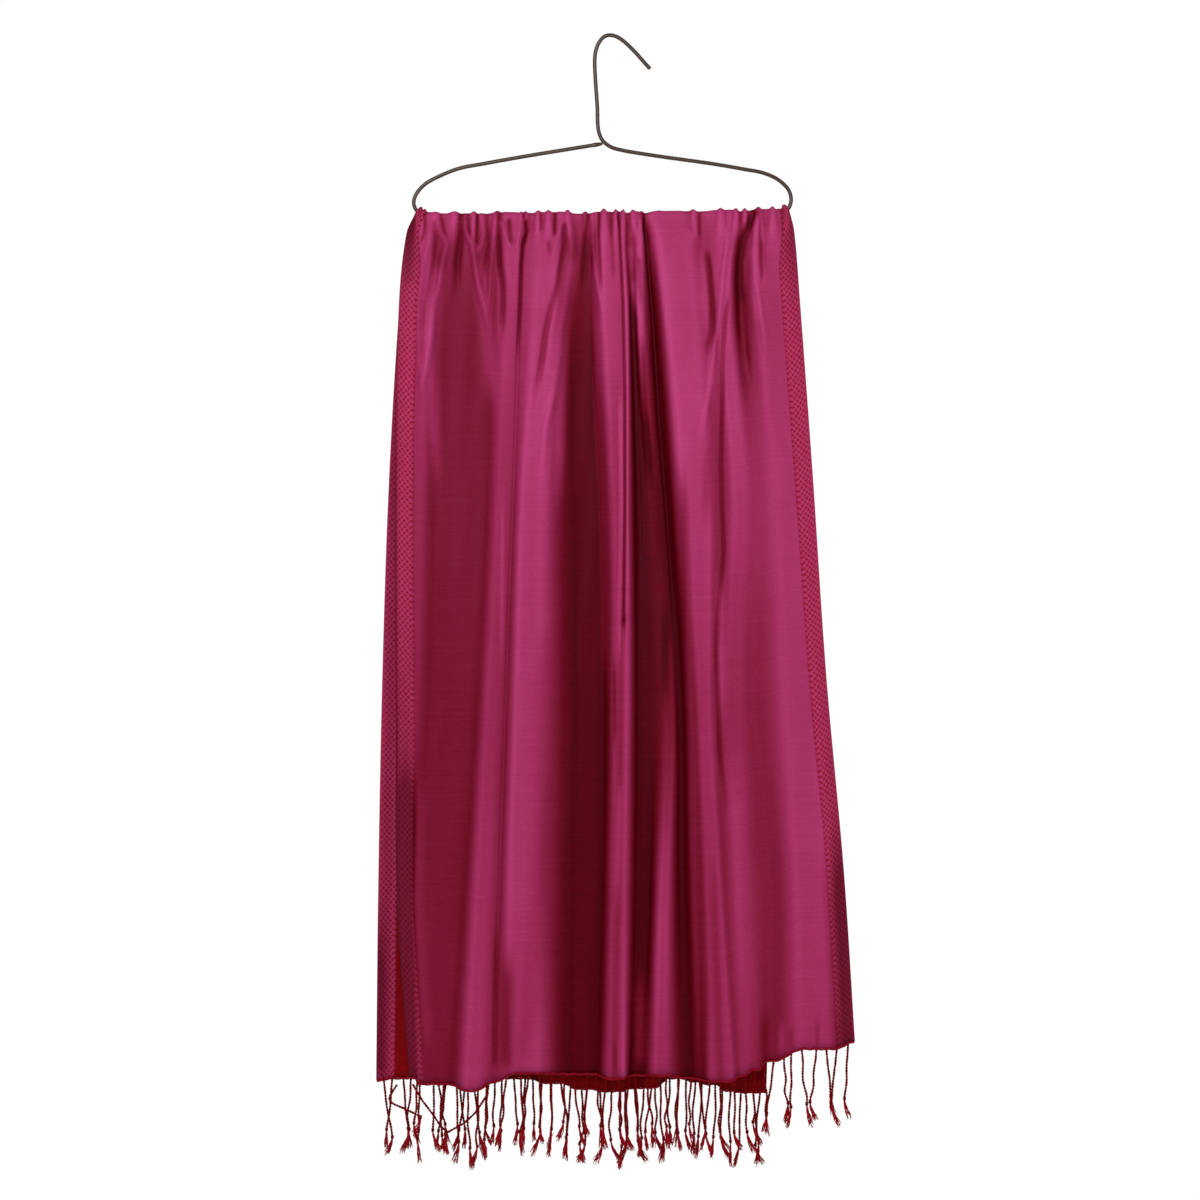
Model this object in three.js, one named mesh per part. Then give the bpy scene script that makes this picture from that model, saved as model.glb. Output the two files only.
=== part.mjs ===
// A silk scarf folded in half over the bottom bar of a wire coat hanger.
// Millimetres, +Z up. The origin is on the underside of the hook's crown, the scarf's front faces -Y.
// The cloth is one length gathered sideways along the bar: a front fall, a fold over the bar and a back fall.
// Both falls share the same numbered fold lines, so a pleat that starts on the bar runs down both sides.
import * as THREE from "three";

const wireRadius = 2;
const wireSides = 8;
const wireSteps = 170;
const weldRadius = 2.3;
const weldLength = 10.3;
const weldSides = 12;
const weldTilt = 9;
const weldStart = { x: -17.7, z: -116.85 };

const barLeftEnd = -208;
const barRightEnd = 193;
const barLeftHeight = -194.3;
const barRightHeight = -190.6;
const barSag = 1.6;
const bendReach = 14;
const leftBendRise = 6.6;
const rightBendRise = 5.4;

const clothThickness = 1.2;
const hemThickness = 2.4;
const hemHeight = 3.4;
const fringeThickness = 2.0;
const fringeReach = 80;
const knotLevel = 58;
const borderWidth = 21;
const borderWidthOnBar = 12;
const borderNarrowsAbove = 0.07;
const seamGap = 0.3;
const hemGap = 0.45;
const wireClearance = 0.4;
const clothRadius = wireRadius + wireClearance + clothThickness / 2;

const borderColumns = 3;
const columnsPerFold = 3;
const barRows = 5;
const barWirePoints = 40;
const arcLengthSteps = 2000;
const rowShares = [0, 0.027, 0.06, 0.113, 0.2, 0.332, 0.45, 0.563, 0.68, 0.795, 0.9, 0.955, 1];

// The heights of the fold tables below, as shares of the way from the bar to the hem.
const stationShares = [0, 0.027, 0.113, 0.332, 0.563, 0.795, 1];

// Each line is the crest of a ridge or the bottom of a trough, from the left selvedge to the right one.
// x is its place across the scarf and out is how far the cloth stands off the bar's plane, at each station;
// flat is the share of the way to its neighbours over which it stays level, and hem is where the scarf ends.
const frontFolds = [
  {
    line: "left selvedge", flat: 0, hem: -1125,
    x: [-208, -219, -227, -231, -230, -229, -216],
    out: [0.5, 4, 10, 13, 11, 5, 3],
  },
  {
    line: "border ridge", flat: 0.2, hem: -1126,
    x: [-200, -204, -206, -217, -221, -226, -212],
    out: [2.2, 6, 12, 14.5, 12, 8, 7],
  },
  {
    line: "left hollow", flat: 0.5, hem: -1132,
    x: [-163, -163, -165, -157, -167, -183, -198],
    out: [0.7, 2, 5, 9, 8.5, 9, 9],
  },
  {
    line: "left pleat", flat: 0.1, hem: -1138,
    x: [-103, -100, -104, -114, -126, -138, -148],
    out: [2.4, 7, 13, 15, 15, 17, 18],
  },
  {
    line: "left step", flat: 0, hem: -1129,
    x: [-96, -94, -96, -104, -112, -119, -124],
    out: [1.2, 5, 12, 15, 14, 14, 14],
  },
  {
    line: "broad pleat", flat: 0.2, hem: -1119,
    x: [-64, -66, -72, -90, -96, -103, -96],
    out: [2.4, 7, 15, 20, 20, 19, 19],
  },
  {
    line: "main hollow", flat: 0.25, hem: -1122,
    x: [-26, -26, -29, -19, -14, -17, -23],
    out: [0.5, 1, 2, 2, 2, 2, 2],
  },
  {
    line: "box pleat left edge", flat: 0.1, hem: -1126,
    x: [-6, -4, -2, 8, 10, 7, 3],
    out: [2.4, 7, 14, 14, 13, 12, 13],
  },
  {
    line: "box pleat right edge", flat: 0, hem: -1125,
    x: [14, 14, 18, 18, 18, 15, 14],
    out: [2.4, 7, 13, 15, 15, 14, 15],
  },
  {
    line: "hollow beside it", flat: 0.2, hem: -1123,
    x: [20, 21, 25, 34, 37, 36, 28],
    out: [0.8, 3, 5, 2, 2, 2.5, 3],
  },
  {
    line: "thin pleat", flat: 0.1, hem: -1122,
    x: [29, 33, 32, 46, 66, 58, 53],
    out: [2.4, 6, 12, 3, 6, 15, 15],
  },
  {
    line: "slanting hollow", flat: 0, hem: -1126,
    x: [36, 39, 46, 61, 76, 79, 86],
    out: [0.5, 1, 2, 2, 2.5, 2.5, 3],
  },
  {
    line: "right pleat", flat: 0.4, hem: -1128,
    x: [60, 66, 76, 93, 98, 112, 123],
    out: [2.4, 8, 15, 20, 17, 16, 16],
  },
  {
    line: "shallow hollow", flat: 0.1, hem: -1123,
    x: [98, 102, 110, 120, 117, 128, 142],
    out: [1.4, 5, 12, 15, 14, 13, 12],
  },
  {
    line: "right ridge", flat: 0.2, hem: -1116,
    x: [128, 127, 122, 139, 132, 142, 158],
    out: [2.4, 7, 14, 19, 15, 14, 12],
  },
  {
    line: "right hollow", flat: 0.1, hem: -1107,
    x: [143, 143, 142, 158, 154, 172, 170],
    out: [0.6, 3, 7, 17.5, 13, 12, 10],
  },
  {
    line: "last ridge", flat: 0.35, hem: -1093,
    x: [168, 171, 173, 194, 212, 219, 229],
    out: [2.4, 7, 13, 19.5, 20, 19.5, 18],
  },
  {
    line: "right selvedge", flat: 0, hem: -1086,
    x: [193, 199, 205, 219, 233, 252, 264],
    out: [0.5, 4, 10, 17, 16, 12, 12],
  },
];

const backFolds = [
  {
    line: "left selvedge", flat: 0, hem: -1132,
    x: [-208, -218, -228, -240, -247, -251, -253],
    out: [0.5, 3, 9, 12, 13, 13, 13],
  },
  {
    line: "border ridge", flat: 0.2, hem: -1130,
    x: [-200, -203, -208, -217, -224, -229, -232],
    out: [2.2, 6, 12, 15, 16, 17, 18],
  },
  {
    line: "left hollow", flat: 0.2, hem: -1127,
    x: [-163, -165, -172, -183, -192, -197, -200],
    out: [0.7, 2, 4, 6, 7, 6, 5],
  },
  {
    line: "left pleat", flat: 0.2, hem: -1126,
    x: [-103, -110, -128, -148, -159, -166, -170],
    out: [2.4, 7, 13, 17, 20, 20, 20],
  },
  {
    line: "left step", flat: 0.1, hem: -1127,
    x: [-96, -97, -102, -116, -128, -134, -138],
    out: [1.2, 2.5, 3, 4, 3, 3, 3],
  },
  {
    line: "broad pleat", flat: 0.3, hem: -1130,
    x: [-64, -68, -76, -84, -92, -98, -101],
    out: [2.4, 7, 14, 20, 21, 21, 20],
  },
  {
    line: "main hollow", flat: 0.2, hem: -1133,
    x: [-26, -28, -38, -48, -53, -57, -58],
    out: [0.5, 1, 2, 2, 2, 3, 3],
  },
  {
    line: "box pleat left edge", flat: 0.3, hem: -1141,
    x: [-6, -7, -10, -15, -19, -22, -24],
    out: [2.4, 7, 13, 15, 16, 15, 15],
  },
  {
    line: "box pleat right edge", flat: 0, hem: -1144,
    x: [14, 12, 9, 4, -1, -4, -6],
    out: [2.4, 7, 13, 17, 19, 18, 17],
  },
  {
    line: "hollow beside it", flat: 0.1, hem: -1142,
    x: [20, 20, 21, 21, 18, 14, 11],
    out: [0.8, 2, 4, 5, 6, 6, 5],
  },
  {
    line: "thin pleat", flat: 0.2, hem: -1140,
    x: [29, 31, 34, 37, 34, 30, 26],
    out: [2.4, 6, 11, 14, 13, 14, 15],
  },
  {
    line: "slanting hollow", flat: 0.1, hem: -1138,
    x: [36, 42, 52, 59, 56, 50, 46],
    out: [0.5, 1, 2, 3, 3, 3, 3],
  },
  {
    line: "right pleat", flat: 0.3, hem: -1130,
    x: [60, 65, 78, 87, 83, 76, 72],
    out: [2.4, 7, 14, 20, 20, 20, 20],
  },
  {
    line: "shallow hollow", flat: 0.1, hem: -1132,
    x: [98, 100, 106, 111, 105, 98, 93],
    out: [1.4, 3, 6, 10, 11, 9, 8],
  },
  {
    line: "right ridge", flat: 0.3, hem: -1136,
    x: [128, 127, 128, 130, 124, 115, 111],
    out: [2.4, 7, 13, 16, 17, 17, 16],
  },
  {
    line: "right hollow", flat: 0.1, hem: -1142,
    x: [143, 143, 147, 148, 142, 132, 128],
    out: [0.6, 2, 5, 8, 9, 8, 8],
  },
  {
    line: "last ridge", flat: 0.3, hem: -1145,
    x: [168, 169, 173, 171, 164, 154, 150],
    out: [2.4, 7, 13, 18, 18, 17, 17],
  },
  {
    line: "right selvedge", flat: 0, hem: -1144,
    x: [193, 199, 198, 194, 185, 176, 170],
    out: [0.5, 3, 9, 13, 13, 12, 12],
  },
];

const front = { folds: frontFolds, side: -1 };
const back = { folds: backFolds, side: 1 };
const lastLine = frontFolds.length - 1;

// Wire stretches beyond the bar, as [x, z] points in the hanger's plane.
const rightArmAndHook = [
  [195.6, -179.5], [195.9, -173], [192.8, -164.3], [181.8, -153.9], [165.9, -146.8], [145.3, -142.8],
  [113.6, -137.3], [56.7, -129.3], [34.7, -126], [12.6, -122.1], [1.6, -118.8], [-7.1, -112.2],
  [-11, -104.5], [-12.6, -95.7], [-13.2, -76], [-15, -50], [-16, -26.2], [-14.9, -15.2],
  [-11.6, -6.5], [-6, 0.2], [0, 2], [7.1, 0.6], [14.9, -4.2], [28.1, -15.2], [38, -27.3], [43.5, -34],
];
const leftArm = [
  [-18, -116.9], [-51.9, -122.4], [-97.4, -129.9], [-135.3, -136.7], [-162.6, -142], [-183.8, -150.3],
  [-198.9, -158.7], [-208.1, -168.6], [-211.2, -176.5], [-210.8, -182.6],
];

const materials = {
  wire: new THREE.MeshStandardMaterial({ color: 0x463a34, roughness: 0.35, metalness: 0.9 }),
  silk: new THREE.MeshStandardMaterial({ color: 0xbe3c78, roughness: 0.4, metalness: 0 }),
  lattice: new THREE.MeshStandardMaterial({ color: 0xa02a48, roughness: 0.5, metalness: 0 }),
  hem: new THREE.MeshStandardMaterial({ color: 0x8c1423, roughness: 0.5, metalness: 0 }),
  fringe: new THREE.MeshStandardMaterial({ color: 0x781419, roughness: 0.6, metalness: 0 }),
};

const { clamp, degToRad, lerp, smoothstep } = THREE.MathUtils;

// The bar's centreline: nearly straight, a little lower in the middle, curling up into both bends.
function barHeight(x) {
  const share = (x - barLeftEnd) / (barRightEnd - barLeftEnd);
  const straight = lerp(barLeftHeight, barRightHeight, share) - barSag * 4 * share * (1 - share);
  const intoLeft = Math.max(0, barLeftEnd + bendReach - x) / bendReach;
  const intoRight = Math.max(0, x - barRightEnd + bendReach) / bendReach;
  return straight + leftBendRise * intoLeft ** 2 + rightBendRise * intoRight ** 2;
}

function barNormal(x) {
  const step = 0.01;
  const slope = (barHeight(x + step) - barHeight(x - step)) / (2 * step);
  return new THREE.Vector3(-slope, 0, 1).normalize();
}

// A smooth curve through the values of one fold line at the stations.
function alongFall(values, share) {
  const last = stationShares.length - 1;
  let index = 0;
  while (index < last - 1 && share > stationShares[index + 1]) {
    index += 1;
  }
  const slopeAt = (station) => {
    const before = Math.max(station - 1, 0);
    const after = Math.min(station + 1, last);
    return (values[after] - values[before]) / (stationShares[after] - stationShares[before]);
  };
  const length = stationShares[index + 1] - stationShares[index];
  const t = (share - stationShares[index]) / length;
  const fromStart = (1 + 2 * t) * (1 - t) ** 2 * values[index] + t * (1 - t) ** 2 * length * slopeAt(index);
  const fromEnd = t * t * (3 - 2 * t) * values[index + 1] - t * t * (1 - t) * length * slopeAt(index + 1);
  return fromStart + fromEnd;
}

// The cloth between two fold lines is a soft wave: even across, rounded in and out.
// place counts the lines from the left selvedge, so 2.5 lies halfway between lines 2 and 3.
function acrossFolds(fall, place, share) {
  const index = Math.min(Math.max(Math.floor(place), 0), lastLine - 1);
  const part = place - index;
  const left = fall.folds[index];
  const right = fall.folds[index + 1];
  const turn = clamp((part - left.flat) / (1 - left.flat - right.flat), 0, 1);
  const wave = (1 - Math.cos(Math.PI * turn)) / 2;
  return {
    x: lerp(alongFall(left.x, share), alongFall(right.x, share), part),
    out: lerp(alongFall(left.out, share), alongFall(right.out, share), wave),
    hem: lerp(left.hem, right.hem, wave),
  };
}

// A row of the cloth is either a height on one of the falls or an angle round the bar.
// Near the bar the borders are bunched up, so less of their width shows there.
function fallRow(fall, share, lowerBy = 0) {
  const pointAt = (place) => {
    const section = acrossFolds(fall, place, share);
    const top = barHeight(acrossFolds(fall, place, 0).x) - seamGap;
    const z = lerp(top, section.hem + hemHeight + hemGap, share) - lowerBy;
    return new THREE.Vector3(section.x, fall.side * (clothRadius + section.out), z);
  };
  const normalAt = (place) => {
    const step = 0.02;
    const run = pointAt(place + step).sub(pointAt(place - step));
    return new THREE.Vector3(-fall.side * run.y, fall.side * run.x, 0).normalize();
  };
  const edge = lerp(borderWidthOnBar, borderWidth, smoothstep(share, 0, borderNarrowsAbove));
  return { pointAt, normalAt, edge };
}

function barRow(angle) {
  const normalAt = (place) => {
    const up = barNormal(acrossFolds(front, place, 0).x);
    return new THREE.Vector3(0, -Math.cos(angle), 0).addScaledVector(up, Math.sin(angle));
  };
  const pointAt = (place) => {
    const section = acrossFolds(front, place, 0);
    const centre = new THREE.Vector3(section.x, 0, barHeight(section.x));
    return centre.addScaledVector(normalAt(place), clothRadius + section.out);
  };
  return { pointAt, normalAt, edge: borderWidthOnBar };
}

// The place that lies the given length of cloth in from a selvedge.
function placeFromEdge(row, fromLeft, length) {
  const step = fromLeft ? 0.01 : -0.01;
  let place = fromLeft ? 0 : lastLine;
  let walked = 0;
  while (walked < length) {
    const stride = row.pointAt(place).distanceTo(row.pointAt(place + step));
    const part = Math.min(1, (length - walked) / stride);
    place += part * step;
    walked += part * stride;
    if (part < 1) {
      break;
    }
  }
  return place;
}

function evenly(from, to, count) {
  return Array.from({ length: count + 1 }, (_, index) => lerp(from, to, index / count));
}

function borderPlaces(row, fromLeft) {
  const lengths = evenly(0, row.edge, borderColumns);
  return lengths.map((length) => placeFromEdge(row, fromLeft, length));
}

function panelPlaces(row) {
  const start = placeFromEdge(row, true, row.edge + seamGap);
  const end = placeFromEdge(row, false, row.edge + seamGap);
  const inner = evenly(2, lastLine - 2, (lastLine - 4) * columnsPerFold);
  return [
    ...evenly(start, 2, columnsPerFold).slice(0, -1),
    ...inner,
    ...evenly(lastLine - 2, end, columnsPerFold).slice(1),
  ];
}

function wholePlaces(row) {
  return [...borderPlaces(row, true), ...panelPlaces(row), ...borderPlaces(row, false).reverse()];
}

// A closed wall with the rows in its middle: half of the thickness lies on either side.
function wall(rows, placesOf, thickness) {
  const grid = rows.map((row) => placesOf(row).map((place) => ({
    point: row.pointAt(place),
    normal: row.normalAt(place),
  })));
  const rowCount = grid.length;
  const columnCount = grid[0].length;
  const positions = [];
  for (const offset of [thickness / 2, -thickness / 2]) {
    for (const { point, normal } of grid.flat()) {
      positions.push(...point.clone().addScaledVector(normal, offset).toArray());
    }
  }
  const outer = (row, column) => row * columnCount + column;
  const inner = (row, column) => rowCount * columnCount + outer(row, column);
  const faces = [];
  const addQuad = (a, b, c, d) => faces.push(a, b, c, a, c, d);
  for (let row = 0; row < rowCount - 1; row += 1) {
    for (let column = 0; column < columnCount - 1; column += 1) {
      addQuad(outer(row, column), outer(row + 1, column), outer(row + 1, column + 1), outer(row, column + 1));
      addQuad(inner(row, column), inner(row, column + 1), inner(row + 1, column + 1), inner(row + 1, column));
    }
    const last = columnCount - 1;
    addQuad(outer(row, 0), inner(row, 0), inner(row + 1, 0), outer(row + 1, 0));
    addQuad(outer(row, last), outer(row + 1, last), inner(row + 1, last), inner(row, last));
  }
  for (let column = 0; column < columnCount - 1; column += 1) {
    const last = rowCount - 1;
    addQuad(outer(0, column), outer(0, column + 1), inner(0, column + 1), inner(0, column));
    addQuad(outer(last, column), inner(last, column), inner(last, column + 1), outer(last, column + 1));
  }
  const geometry = new THREE.BufferGeometry();
  geometry.setAttribute("position", new THREE.Float32BufferAttribute(positions, 3));
  geometry.setIndex(signedVolume(positions, faces) < 0 ? faces.reverse() : faces);
  return geometry;
}

function signedVolume(positions, faces) {
  const corner = (index) => new THREE.Vector3().fromArray(positions, 3 * faces[index]);
  let volume = 0;
  for (let index = 0; index < faces.length; index += 3) {
    volume += corner(index).dot(corner(index + 1).cross(corner(index + 2))) / 6;
  }
  return volume;
}

function fallRows(fall) {
  return rowShares.map((share) => fallRow(fall, share));
}

function barRows180() {
  return evenly(0, Math.PI, barRows).map((angle) => barRow(angle));
}

// From the front hem up over the bar and down to the back hem.
function fullLengthRows() {
  return [...fallRows(front).reverse(), ...barRows180(), ...fallRows(back)];
}

function hemRows(fall) {
  return [0, hemHeight].map((drop) => fallRow(fall, 1, hemGap + drop));
}

function fringeRows(fall) {
  const start = hemGap + hemHeight + seamGap;
  return [0, knotLevel, fringeReach].map((drop) => fallRow(fall, 1, start + drop));
}

// One wire: from the weld down the left arm, along the bar, up the right arm and over the hook.
function hangerWire() {
  const barPoints = evenly(barLeftEnd, barRightEnd, barWirePoints).map((x) => [x, barHeight(x)]);
  const route = [...leftArm, ...barPoints, ...rightArmAndHook];
  const points = route.map(([x, z]) => new THREE.Vector3(x, 0, z));
  const path = new THREE.CatmullRomCurve3(points, false, "centripetal");
  path.arcLengthDivisions = arcLengthSteps;
  const corners = evenly(0, 2 * Math.PI, wireSides).slice(0, -1).map((angle) => (
    new THREE.Vector2(wireRadius * Math.cos(angle), wireRadius * Math.sin(angle))
  ));
  return new THREE.ExtrudeGeometry(new THREE.Shape(corners), {
    steps: wireSteps,
    bevelEnabled: false,
    extrudePath: path,
  });
}

// The flared end of the left arm, welded to the neck.
function hangerWeld() {
  const profile = [
    [0, 0], [wireRadius, 0], [weldRadius, 0.3 * weldLength], [0.86 * weldRadius, 0.7 * weldLength],
    [0.45 * weldRadius, 0.95 * weldLength], [0, weldLength],
  ];
  const outline = profile.map(([radius, height]) => new THREE.Vector2(radius, height));
  return new THREE.LatheGeometry(outline, weldSides);
}

function piece(name, geometry, material) {
  const mesh = new THREE.Mesh(geometry, material);
  mesh.name = name;
  return mesh;
}

const leftBorder = (row) => borderPlaces(row, true);
const rightBorder = (row) => borderPlaces(row, false);

const weld = piece("hanger_weld", hangerWeld(), materials.wire);
weld.position.set(weldStart.x, 0, weldStart.z);
weld.rotation.set(0, degToRad(90 - weldTilt), 0);
weld.rotateX(Math.PI / 2);

const scarfOnHanger = new THREE.Group();
scarfOnHanger.add(
  piece("hanger_wire", hangerWire(), materials.wire),
  weld,
  piece("front_fall", wall(fallRows(front), panelPlaces, clothThickness), materials.silk),
  piece("bar_fold", wall(barRows180(), panelPlaces, clothThickness), materials.silk),
  piece("back_fall", wall(fallRows(back), panelPlaces, clothThickness), materials.silk),
  piece("left_border", wall(fullLengthRows(), leftBorder, clothThickness), materials.lattice),
  piece("right_border", wall(fullLengthRows(), rightBorder, clothThickness), materials.lattice),
  piece("front_hem", wall(hemRows(front), wholePlaces, hemThickness), materials.hem),
  piece("back_hem", wall(hemRows(back), wholePlaces, hemThickness), materials.hem),
  piece("front_fringe", wall(fringeRows(front), wholePlaces, fringeThickness), materials.fringe),
  piece("back_fringe", wall(fringeRows(back), wholePlaces, fringeThickness), materials.fringe),
);

export default scarfOnHanger;
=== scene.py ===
import math
import random

import bpy
import numpy as np
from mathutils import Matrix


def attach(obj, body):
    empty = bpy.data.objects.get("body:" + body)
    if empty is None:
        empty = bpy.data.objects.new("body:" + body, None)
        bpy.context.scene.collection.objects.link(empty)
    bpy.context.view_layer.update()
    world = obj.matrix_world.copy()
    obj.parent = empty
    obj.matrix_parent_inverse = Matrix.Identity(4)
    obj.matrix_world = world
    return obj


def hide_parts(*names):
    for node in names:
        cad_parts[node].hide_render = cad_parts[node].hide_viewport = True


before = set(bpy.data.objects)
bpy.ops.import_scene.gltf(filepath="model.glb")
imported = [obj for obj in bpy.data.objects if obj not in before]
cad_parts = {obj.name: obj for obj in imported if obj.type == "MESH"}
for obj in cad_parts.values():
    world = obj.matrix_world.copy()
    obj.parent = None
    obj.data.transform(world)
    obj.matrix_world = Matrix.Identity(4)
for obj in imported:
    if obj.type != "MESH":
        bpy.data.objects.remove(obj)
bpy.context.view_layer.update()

mm = 0.001
fullTurn = 2 * math.pi

# the hanger's wire, as [x, z] points in its own plane, in millimetres
hanger = {
    "radius": 2.15,
    "barLeft": -208, "barRight": 193,          # where the bar ends and the bends begin
    "barLeftHeight": -194.3, "barRightHeight": -190.6,
    "barSag": 1.6,
    "bendReach": 14, "leftBendRise": 6.6, "rightBendRise": 5.4,
    "barPoints": 40,
    "leftArm": [
        [-18, -116.9], [-51.9, -122.4], [-97.4, -129.9], [-135.3, -136.7], [-162.6, -142],
        [-183.8, -150.3], [-198.9, -158.7], [-208.1, -168.6], [-211.2, -176.5], [-210.8, -182.6],
    ],
    "rightArmAndHook": [
        [195.6, -179.5], [195.9, -173], [192.8, -164.3], [181.8, -153.9], [165.9, -146.8],
        [145.3, -142.8], [113.6, -137.3], [56.7, -129.3], [34.7, -126], [12.6, -122.1], [1.6, -118.8],
        [-7.1, -112.2], [-11, -104.5], [-12.6, -95.7], [-13.2, -76], [-15, -50], [-16, -26.2],
        [-14.9, -15.2], [-11.6, -6.5], [-6, 0.2], [0, 2], [7.1, 0.6], [14.9, -4.2], [26.6, -15.2],
        [37.6, -27.5], [43.5, -34],
    ],
    "weldStart": [-18.8, -117.03], "weldTilt": 9, "weldLength": 11.4,
    "weldProfile": [[0, 1.0], [0.2, 1.12], [0.5, 1.08], [0.8, 0.86], [1, 0.6]],
    "pointsPerStretch": 6, "roundness": 5,
    "tipReach": [0.4, 0.7], "tipRadii": [0.93, 0.75, 0.35],   # the cut end is worn round
}

# one length of silk gathered along the bar, with eighteen fold lines down each fall; flat is the share
# of the way to its neighbours that a line stays level, hem the height of its end, and x and out give
# its place across and how far it stands off the bar's plane at each station
scarf = {
    "barRadius": 3.0,                          # middle of the cloth round the bar
    "silkThickness": 0.45, "borderThickness": 0.75, "seamOverlap": 0.4,
    "fallLength": 930, "leastOut": 0.1, "borderWidth": 21,
    "borderWidthOnBar": 12, "borderNarrowsAbove": 65,     # bunched up on the bar, so less of it shows
    "hemHeight": 3.4,
    "stations": [0, 0.027, 0.113, 0.332, 0.563, 0.795, 1],
    "columns": ["line", "flat", "hem", "x", "out"],
    "front": [
        ("left selvedge", 0, -1125, [-208, -219, -227, -231, -230, -229, -216], [0.5, 4, 10, 13, 11, 5, 3]),
        ("border ridge", 0.2, -1126,
         [-200, -204, -206, -217, -221, -226, -212], [2.2, 6, 12, 14.5, 12, 8, 7]),
        ("left hollow", 0.5, -1132, [-163, -163, -165, -157, -167, -183, -198], [0.7, 2, 5, 9, 8.5, 9, 9]),
        ("left pleat", 0.1, -1138, [-103, -100, -104, -114, -126, -138, -148], [2.4, 7, 13, 15, 15, 17, 18]),
        ("left step", 0, -1129, [-96, -94, -96, -104, -112, -119, -124], [1.2, 5, 12, 15, 14, 14, 14]),
        ("broad pleat", 0.2, -1119, [-64, -66, -72, -90, -96, -103, -96], [2.4, 7, 15, 20, 20, 19, 19]),
        ("main hollow", 0.25, -1122, [-26, -26, -29, -19, -14, -17, -23], [0.5, 1, 2, 2, 2, 2, 2]),
        ("box pleat left edge", 0.1, -1126, [-6, -4, -2, 8, 10, 7, 3], [2.4, 7, 14, 14, 13, 12, 13]),
        ("box pleat right edge", 0, -1125, [14, 14, 18, 18, 18, 15, 14], [2.4, 7, 13, 15, 15, 14, 15]),
        ("hollow beside it", 0.2, -1123, [20, 21, 25, 34, 37, 36, 28], [0.8, 3, 5, 2, 2, 2.5, 3]),
        ("thin pleat", 0.1, -1122, [29, 33, 32, 46, 66, 58, 53], [2.4, 6, 12, 3, 6, 15, 15]),
        ("slanting hollow", 0, -1126, [36, 39, 46, 61, 76, 79, 86], [0.5, 1, 2, 2, 2.5, 2.5, 3]),
        ("right pleat", 0.4, -1128, [60, 66, 76, 93, 98, 112, 123], [2.4, 8, 15, 20, 17, 16, 16]),
        ("shallow hollow", 0.1, -1123, [98, 102, 110, 120, 117, 128, 142], [1.4, 5, 12, 15, 14, 13, 12]),
        ("right ridge", 0.2, -1116, [128, 127, 122, 139, 132, 142, 158], [2.4, 7, 14, 19, 15, 14, 12]),
        ("right hollow", 0.1, -1107, [143, 143, 142, 158, 154, 172, 170], [0.6, 3, 7, 17.5, 13, 12, 10]),
        ("last ridge", 0.35, -1093, [168, 171, 173, 194, 212, 219, 229], [2.4, 7, 13, 19.5, 20, 19.5, 18]),
        ("right selvedge", 0, -1086, [193, 199, 205, 219, 233, 252, 264], [0.5, 4, 10, 17, 16, 12, 12]),
    ],
    "back": [
        ("left selvedge", 0, -1132, [-208, -218, -228, -240, -247, -251, -253], [0.5, 3, 9, 12, 13, 13, 13]),
        ("border ridge", 0.2, -1130,
         [-200, -203, -208, -217, -224, -229, -232], [2.2, 6, 12, 15, 16, 17, 18]),
        ("left hollow", 0.2, -1127, [-163, -165, -172, -183, -192, -197, -200], [0.7, 2, 4, 6, 7, 6, 5]),
        ("left pleat", 0.2, -1126, [-103, -110, -128, -148, -159, -166, -170], [2.4, 7, 13, 17, 20, 20, 20]),
        ("left step", 0.1, -1127, [-96, -97, -102, -116, -128, -134, -138], [1.2, 2.5, 3, 4, 3, 3, 3]),
        ("broad pleat", 0.3, -1130, [-64, -68, -76, -84, -92, -98, -101], [2.4, 7, 14, 20, 21, 21, 20]),
        ("main hollow", 0.2, -1133, [-26, -28, -38, -48, -53, -57, -58], [0.5, 1, 2, 2, 2, 3, 3]),
        ("box pleat left edge", 0.3, -1141, [-6, -7, -10, -15, -19, -22, -24], [2.4, 7, 13, 15, 16, 15, 15]),
        ("box pleat right edge", 0, -1144, [14, 12, 9, 4, -1, -4, -6], [2.4, 7, 13, 17, 19, 18, 17]),
        ("hollow beside it", 0.1, -1142, [20, 20, 21, 21, 18, 14, 11], [0.8, 2, 4, 5, 6, 6, 5]),
        ("thin pleat", 0.2, -1140, [29, 31, 34, 37, 34, 30, 26], [2.4, 6, 11, 14, 13, 14, 15]),
        ("slanting hollow", 0.1, -1138, [36, 42, 52, 59, 56, 50, 46], [0.5, 1, 2, 3, 3, 3, 3]),
        ("right pleat", 0.3, -1130, [60, 65, 78, 87, 83, 76, 72], [2.4, 7, 14, 20, 20, 20, 20]),
        ("shallow hollow", 0.1, -1132, [98, 100, 106, 111, 105, 98, 93], [1.4, 3, 6, 10, 11, 9, 8]),
        ("right ridge", 0.3, -1136, [128, 127, 128, 130, 124, 115, 111], [2.4, 7, 13, 16, 17, 17, 16]),
        ("right hollow", 0.1, -1142, [143, 143, 147, 148, 142, 132, 128], [0.6, 2, 5, 8, 9, 8, 8]),
        ("last ridge", 0.3, -1145, [168, 169, 173, 171, 164, 154, 150], [2.4, 7, 13, 18, 18, 17, 17]),
        ("right selvedge", 0, -1144, [193, 199, 198, 194, 185, 176, 170], [0.5, 3, 9, 13, 13, 12, 12]),
    ],
}

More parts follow.
